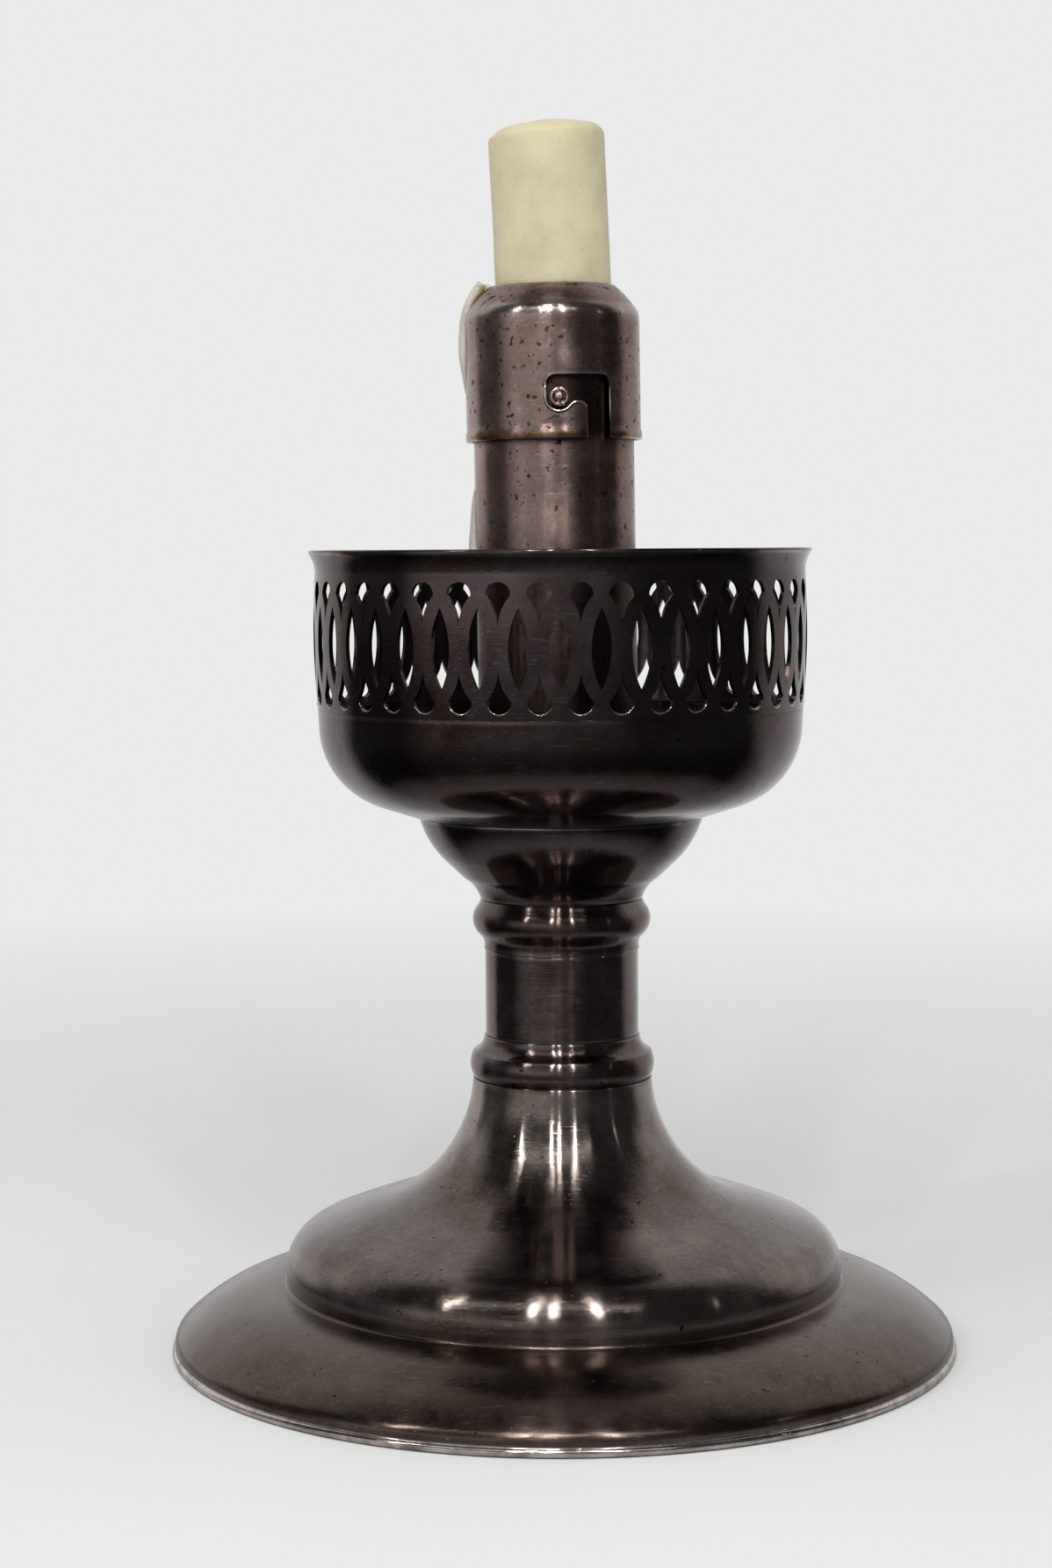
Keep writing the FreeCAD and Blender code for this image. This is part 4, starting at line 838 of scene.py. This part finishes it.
class CANDLESTICK_OT_cap(PieceOperator, bpy.types.Operator):
    """Turn the cap, cut its two J slots and raise their edges"""
    bl_idname = "candlestick.cap"
    bl_label = "Bayonet cap"

    def make(self):
        turns = [SLOT_TURN, SLOT_TURN + math.pi]
        bm = lathe(CAP_OUTLINE, 1.2, seed=8.9)
        bm = cut(bm, [cutter(f"slot_{side}", slot_outline(), Matrix.Rotation(turn, 4, "Z"), 8 * MM, 20 * MM)
                      for side, turn in enumerate(turns)])
        foot = CAP_FOOT
        edge = walk([(-6.25, foot + 10.2), (-6.25, foot + 7.4), (-1.93, foot + 5.8, 0.354),
                     (-0.35, foot + 6.65, -0.113), (1.2, foot + 5.6, -0.12)], 0.5)
        hook = [(x, z - 0.05) for x, z in edge]
        last = min(hook, key=lambda place: math.dist(place, (1.2, foot + 5.3)))
        hook = hook[:hook.index(last) + 1]
        hook = [(x, z, 0.36 * min(1.0, (index + 2) / 5)) for index, (x, z) in enumerate(hook)]
        side_line = [(6.2, foot + 9.4 - 0.6 * k, 0.05 + 0.09 * math.sin(math.pi * k / 10)) for k in range(11)]
        # The raised edges of the hooks are painted bright as highlights
        for turn in turns:
            bright_bead(bm, hook, BEAD_REACH, turn)
            bright_bead(bm, side_line, BEAD_REACH, turn)
        bmesh.ops.transform(bm, matrix=TUBE_PLACE, verts=bm.verts)
        # The shoulder's edge is lightened as worn plate: a painted highlight as well as wear
        shoulder = (14.2, 194.8, 198.4, 1.3, 0.4)
        as_piece("slotted_cap", bm, "cap", "cap", "bayonet_cap", rubbed_and_highlit=[shoulder])


class CANDLESTICK_OT_pins(PieceOperator, bpy.types.Operator):
    """Turn the two headed pins that hold the cap"""
    bl_idname = "candlestick.pins"
    bl_label = "Bayonet pins"

    def make(self):
        whole = bmesh.new()
        height = (CAP_FOOT + PIN_RISE) * MM
        for side in range(2):
            bm = lathe(PIN_OUTLINE, 0.2, edge=0.0, depth=0.0, steps=48)
            turn = SLOT_TURN - math.asin(NOTCH_REACH / CAP_REACH) + side * math.pi
            place = (TUBE_PLACE @ Matrix.Rotation(turn, 4, "Z") @ Matrix.Translation((0, 0, height))
                     @ Matrix.Rotation(math.pi / 2, 4, "X"))
            bmesh.ops.transform(bm, matrix=place, verts=bm.verts)
            whole.from_mesh(made_mesh("pin", bm))
        as_piece("headed_pins", whole, "pin", "tube", "bayonet_pins")


class CANDLESTICK_OT_spring(PieceOperator, bpy.types.Operator):
    """Wind the spring that stands on the tube's plug under the follower, at one fixed length"""
    bl_idname = "candlestick.spring"
    bl_label = "Spring"

    def make(self):
        turns, steps = 13, 20
        reach, wire, low, high = 11.2, 0.6, 7.5, 106.6
        slope = math.atan((high - low) / turns / (2 * math.pi * reach))
        bm = bmesh.new()
        strand(bm, [Matrix.Rotation(2 * math.pi * index / steps, 4, "Z")
                    @ Matrix.Translation((reach * MM, 0, (low + (high - low) * index / (turns * steps)) * MM))
                    @ Matrix.Rotation(slope - math.pi / 2, 4, "X")
                    @ Matrix.Scale(wire * MM, 4) for index in range(turns * steps + 1)], 10)
        bmesh.ops.recalc_face_normals(bm, faces=bm.faces)
        bmesh.ops.transform(bm, matrix=TUBE_PLACE, verts=bm.verts)
        piece = as_piece("wound_spring", bm, "steel", "tube", "candle_spring", sharp_deg=50.0)
        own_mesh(piece)


def candle_place():
    """Where the candle stands: leaning in the follower"""
    foot_shift, foot_height = 0.55 * MM, 108.6 * MM
    return (TUBE_PLACE @ Matrix.Translation((foot_shift, 0, foot_height))
            @ Matrix.Rotation(sizes().candle_lean, 4, "Y"))


class CANDLESTICK_OT_candle(PieceOperator, bpy.types.Operator):
    """Turn the candle stub with its worn rim and pool, and its wick"""
    bl_idname = "candlestick.candle"
    bl_label = "Candle and wick"

    def make(self):
        self.stub()
        self.wick()

    def stub(self):
        """The stub, with a ragged rim that has melted away towards the left"""
        melt_from, melt_height, radius = 26.0 * MM, 8.65 * MM, 10.95 * MM
        bm = lathe(CANDLE_OUTLINE, 0.6, edge=0.0, depth=0.14 * MM, seed=9.7, steps=160)
        for vert in bm.verts:
            x, y, z = vert.co
            if z > melt_from:
                near_top = (z - melt_from) / melt_height
                ragged = noise.noise(Vector((x, y, 0.0)) / 0.007 + Vector((4.0, 2.0, 1.0)))
                fallen = max(0.0, -x / radius) ** 2
                vert.co.z -= near_top ** 3 * MM * (0.45 * max(0.0, ragged + 0.1) + 1.1 * fallen)
        bmesh.ops.transform(bm, matrix=candle_place(), verts=bm.verts)
        as_piece("wax_stub", bm, "wax", "candle", "candle")

    def wick(self):
        """A short plaited wick, bent over to the right"""
        length, foot = 1.7 * MM, 32.6 * MM
        bm = bmesh.new()
        bmesh.ops.create_cone(bm, cap_ends=True, segments=16, radius1=0.75 * MM, radius2=0.6 * MM,
                              depth=length)
        upright = [e for e in bm.edges if abs(e.verts[0].co.z - e.verts[1].co.z) > MM]
        bmesh.ops.subdivide_edges(bm, edges=upright, cuts=5)
        for vert in bm.verts:
            rise = vert.co.z / length + 0.5
            angle = math.atan2(vert.co.y, vert.co.x) * 3 + rise * 5
            vert.co.xy *= 1.0 - 0.14 * (0.5 + 0.5 * math.sin(angle))
            vert.co.x += 0.55 * MM * rise * rise
        bmesh.ops.translate(bm, verts=bm.verts, vec=(0, 0, foot + length / 2))
        bmesh.ops.transform(bm, matrix=candle_place(), verts=bm.verts)
        as_piece("burnt_wick", bm, "wick", "candle", "candle_wick")


def wax_piece(name, runs, body, node, keep_out, seed):
    """Runs of wax that join into one, trimmed off the metal's inside"""
    bm = bmesh.new()
    for run in runs:
        strand(bm, [Matrix.Rotation(math.radians(180 + angle), 4, "Z")
                    @ Matrix.Translation((radius * MM, 0, height * MM))
                    @ Matrix.Rotation(math.radians(tilt), 4, "Y")
                    @ Matrix.Diagonal((deep * MM, wide * MM, 1.0, 1.0))
                    for angle, radius, height, tilt, deep, wide in run])
    bmesh.ops.recalc_face_normals(bm, faces=bm.faces)
    rough = new_object(name + "_rough", made_mesh(name, bm))
    merge = rough.modifiers.new("merge", "REMESH")
    merge.mode = "VOXEL"
    merge.voxel_size = sizes().wax_voxel
    settle = rough.modifiers.new("settle", "SMOOTH")
    settle.factor = 0.5
    settle.iterations = 8
    bm = evaluated(rough)
    wear(bm, 0.22 * MM, 0.0042, seed)
    least = keep_out * MM
    for vert in bm.verts:
        reach = math.hypot(vert.co.x, vert.co.y)
        if reach < least:
            vert.co.xy *= least / reach
    bmesh.ops.transform(bm, matrix=TUBE_PLACE, verts=bm.verts)
    as_piece(name, bm, "thin_wax", body, node, sharp_deg=180.0)


class CANDLESTICK_OT_wax(PieceOperator, bpy.types.Operator):
    """Run wax over the cap's mouth and left side, and down the tube"""
    bl_idname = "candlestick.wax"
    bl_label = "Wax runs"

    def make(self):
        lip = []
        for angle in range(-30, 31, 3):
            near = max(0.0, 1 - (angle / 31) ** 2)
            lip.append((angle, 13.0, 112.9 + 0.9 * near, 0, 0.45 + 0.75 * near, 0.35 + 2.3 * near))
        wax_piece("cap_wax", [lip, CAP_RUN], "cap", "cap_wax_run", 11.9, 2.6)
        wax_piece("tube_wax", [TUBE_RUN], "tube", "tube_wax_run", 14.4, 5.4)


class CANDLESTICK_OT_inside(PieceOperator, bpy.types.Operator):
    """Give the pieces inside and underneath their finishes"""
    bl_idname = "candlestick.inside"
    bl_label = "Inside pieces"

    def make(self):
        finishes = {"steel": ("tie_rod", "rod_washer", "rod_nut"),
                    "brass": ("tube_plug", "follower_cup", "base_plate"),
                    "filling": ("foot_ballast",), "felt": ("felt_pad",)}
        for key, names in finishes.items():
            for name in names:
                mesh = frame["nodes"][name].data
                mesh.materials.clear()
                mesh.materials.append(material(key))


class CANDLESTICK_OT_stage(PieceOperator, bpy.types.Operator):
    """Set the floor, the lamps, the world and the camera"""
    bl_idname = "candlestick.stage"
    bl_label = "Stage"

    def make(self):
        self.floor()
        self.world()
        self.lamps()
        self.camera()
        bpy.context.scene.view_settings.view_transform = "Standard"

    def floor(self):
        """A pale floor that takes the shadow; glossy rays see it darker towards the front"""
        bm = bmesh.new()
        bmesh.ops.create_circle(bm, cap_ends=True, segments=96, radius=3.0)
        mesh = made_mesh("floor", bm)
        f = finish_nodes("pale_floor")
        where = f.coords()
        grain = f.noise(where, 3.0, 4.0)
        base = f.ramp(grain, [(0.3, tinted(colours().floor, 0.97)), (0.7, tinted(colours().floor, 1.03))])
        lit = f.add("ShaderNodeBsdfDiffuse", {"Color": base})
        direct, mirrored = f.rays()
        seen = f.math("MAXIMUM", direct, mirrored)
        x, y, _ = f.split(where)
        room = f.all_round(x, y, LOW_ROOM)
        reach = f.add("ShaderNodeVectorMath", {0: where}, operation="LENGTH").outputs["Value"]
        # Mirrors see the floor darker near the object and in front: a painted dark reflection
        near = f.math("MAXIMUM", f.spread(reach, 0.12, 0.5, 0.2, 1.0), f.spread(y, 0.0, 0.15))
        room = f.mix(near, (0.0, 0.0, 0.0), room)
        far = f.mix(mirrored, tuple(colours().backdrop), room)
        backdrop = f.add("ShaderNodeEmission", {"Color": far, "Strength": 1.0})
        share = f.math("MAXIMUM", f.math("MULTIPLY", f.spread(reach, 0.25, 0.7), seen),
                       f.math("MULTIPLY", f.spread(reach, 0.03, 0.15), mirrored))
        mixed = f.add("ShaderNodeMixShader", {0: share, 1: lit, 2: backdrop})
        f.add("ShaderNodeOutputMaterial", {"Surface": mixed})
        mesh.materials.append(f.owner)
        new_object("floor", mesh)

    def world(self):
        """Even light on the object; glossy rays see the pale backdrop behind and a darker room in front"""
        world = bpy.data.worlds.new("studio")
        bpy.context.scene.world = world
        w = Nodes(world)
        direct, mirrored = w.rays()
        x, y, z = w.split(w.add("ShaderNodeTexCoord").outputs["Generated"])
        room = w.mix(w.spread(z, -0.05, -0.015), w.all_round(x, y, LOW_ROOM), w.all_round(x, y, ROOM))
        surround = w.mix(w.spread(z, 0.14, 0.36), room, w.spread(y, 0.0, 0.3, 0.05, 0.66))
        light = w.add("ShaderNodeBackground", {"Color": (1.0, 1.0, 1.0, 1.0), "Strength": LIGHT_LEVEL})
        seen = w.add("ShaderNodeBackground", {"Color": (*colours().backdrop, 1.0), "Strength": 1.0})
        glossy = w.add("ShaderNodeBackground", {"Color": surround, "Strength": 1.0})
        first = w.add("ShaderNodeMixShader", {0: mirrored, 1: light, 2: glossy})
        both = w.add("ShaderNodeMixShader", {0: direct, 1: first, 2: seen})
        w.add("ShaderNodeOutputWorld", {"Surface": both})

    def lamps(self):
        """Narrow lamps for the streaks on the plate, a strip for the rims and a soft one for the rest"""
        for name, azimuth, elevation, width, height, power in LAMPS:
            data = bpy.data.lights.new(name, "AREA")
            data.shape = "RECTANGLE"
            data.size = width
            data.size_y = height
            data.energy = power
            lamp = new_object(name, data)
            turn, rise = math.radians(azimuth), math.radians(elevation)
            way = Vector((math.sin(turn) * math.cos(rise), -math.cos(turn) * math.cos(rise), math.sin(rise)))
            lamp.location = LAMP_AIM + way * LAMP_DISTANCE
            lamp.rotation_euler = way.to_track_quat("Z", "Y").to_euler()

    def camera(self):
        data = bpy.data.cameras.new("camera")
        data.sensor_fit = "VERTICAL"
        data.sensor_height = 36.0
        data.lens = data.sensor_height * CAMERA_REACH
        data.clip_start = 0.01
        camera = new_object("camera", data)
        yaw, pitch, roll = (math.radians(turn) for turn in (CAMERA_YAW, CAMERA_PITCH, CAMERA_ROLL))
        turned = (Matrix.Rotation(yaw, 4, "Z") @ Matrix.Rotation(math.pi / 2 - pitch, 4, "X")
                  @ Matrix.Rotation(roll, 4, "Z"))
        camera.matrix_world = Matrix.Translation(CAMERA_PLACE) @ turned
        bpy.context.scene.camera = camera


class CANDLESTICK_PT_panel(bpy.types.Panel):
    """Lists the sizes, the colours and the pieces"""
    bl_idname = "CANDLESTICK_PT_panel"
    bl_label = "Candlestick"
    bl_space_type = "VIEW_3D"
    bl_region_type = "UI"
    bl_category = "Candlestick"

    def draw(self, context):
        for group in (context.scene.candlestick_sizes, context.scene.candlestick_colours):
            box = self.layout.box()
            for name in group.bl_rna.properties.keys():
                if name not in ("rna_type", "name"):
                    box.prop(group, name)
        for operator in OPERATORS:
            self.layout.operator(operator.bl_idname)


OPERATORS = (
    CANDLESTICK_OT_foot, CANDLESTICK_OT_stem, CANDLESTICK_OT_bowl, CANDLESTICK_OT_gallery,
    CANDLESTICK_OT_tube, CANDLESTICK_OT_cap, CANDLESTICK_OT_pins, CANDLESTICK_OT_spring,
    CANDLESTICK_OT_candle, CANDLESTICK_OT_wax, CANDLESTICK_OT_inside, CANDLESTICK_OT_stage)
CLASSES = (CandlestickSizes, CandlestickColours, *OPERATORS, CANDLESTICK_PT_panel)


def register():
    for item in CLASSES:
        bpy.utils.register_class(item)
    bpy.types.Scene.candlestick_sizes = bpy.props.PointerProperty(type=CandlestickSizes)
    bpy.types.Scene.candlestick_colours = bpy.props.PointerProperty(type=CandlestickColours)


def unregister():
    del bpy.types.Scene.candlestick_colours
    del bpy.types.Scene.candlestick_sizes
    for item in reversed(CLASSES):
        bpy.utils.unregister_class(item)


def main():
    """Make every piece"""
    register()
    bpy.ops.candlestick.foot()
    bpy.ops.candlestick.stem()
    bpy.ops.candlestick.bowl()
    bpy.ops.candlestick.gallery()
    bpy.ops.candlestick.tube()
    bpy.ops.candlestick.cap()
    bpy.ops.candlestick.pins()
    bpy.ops.candlestick.spring()
    bpy.ops.candlestick.candle()
    bpy.ops.candlestick.wax()
    bpy.ops.candlestick.inside()
    bpy.ops.candlestick.stage()


if __name__ == "__main__":
    main()
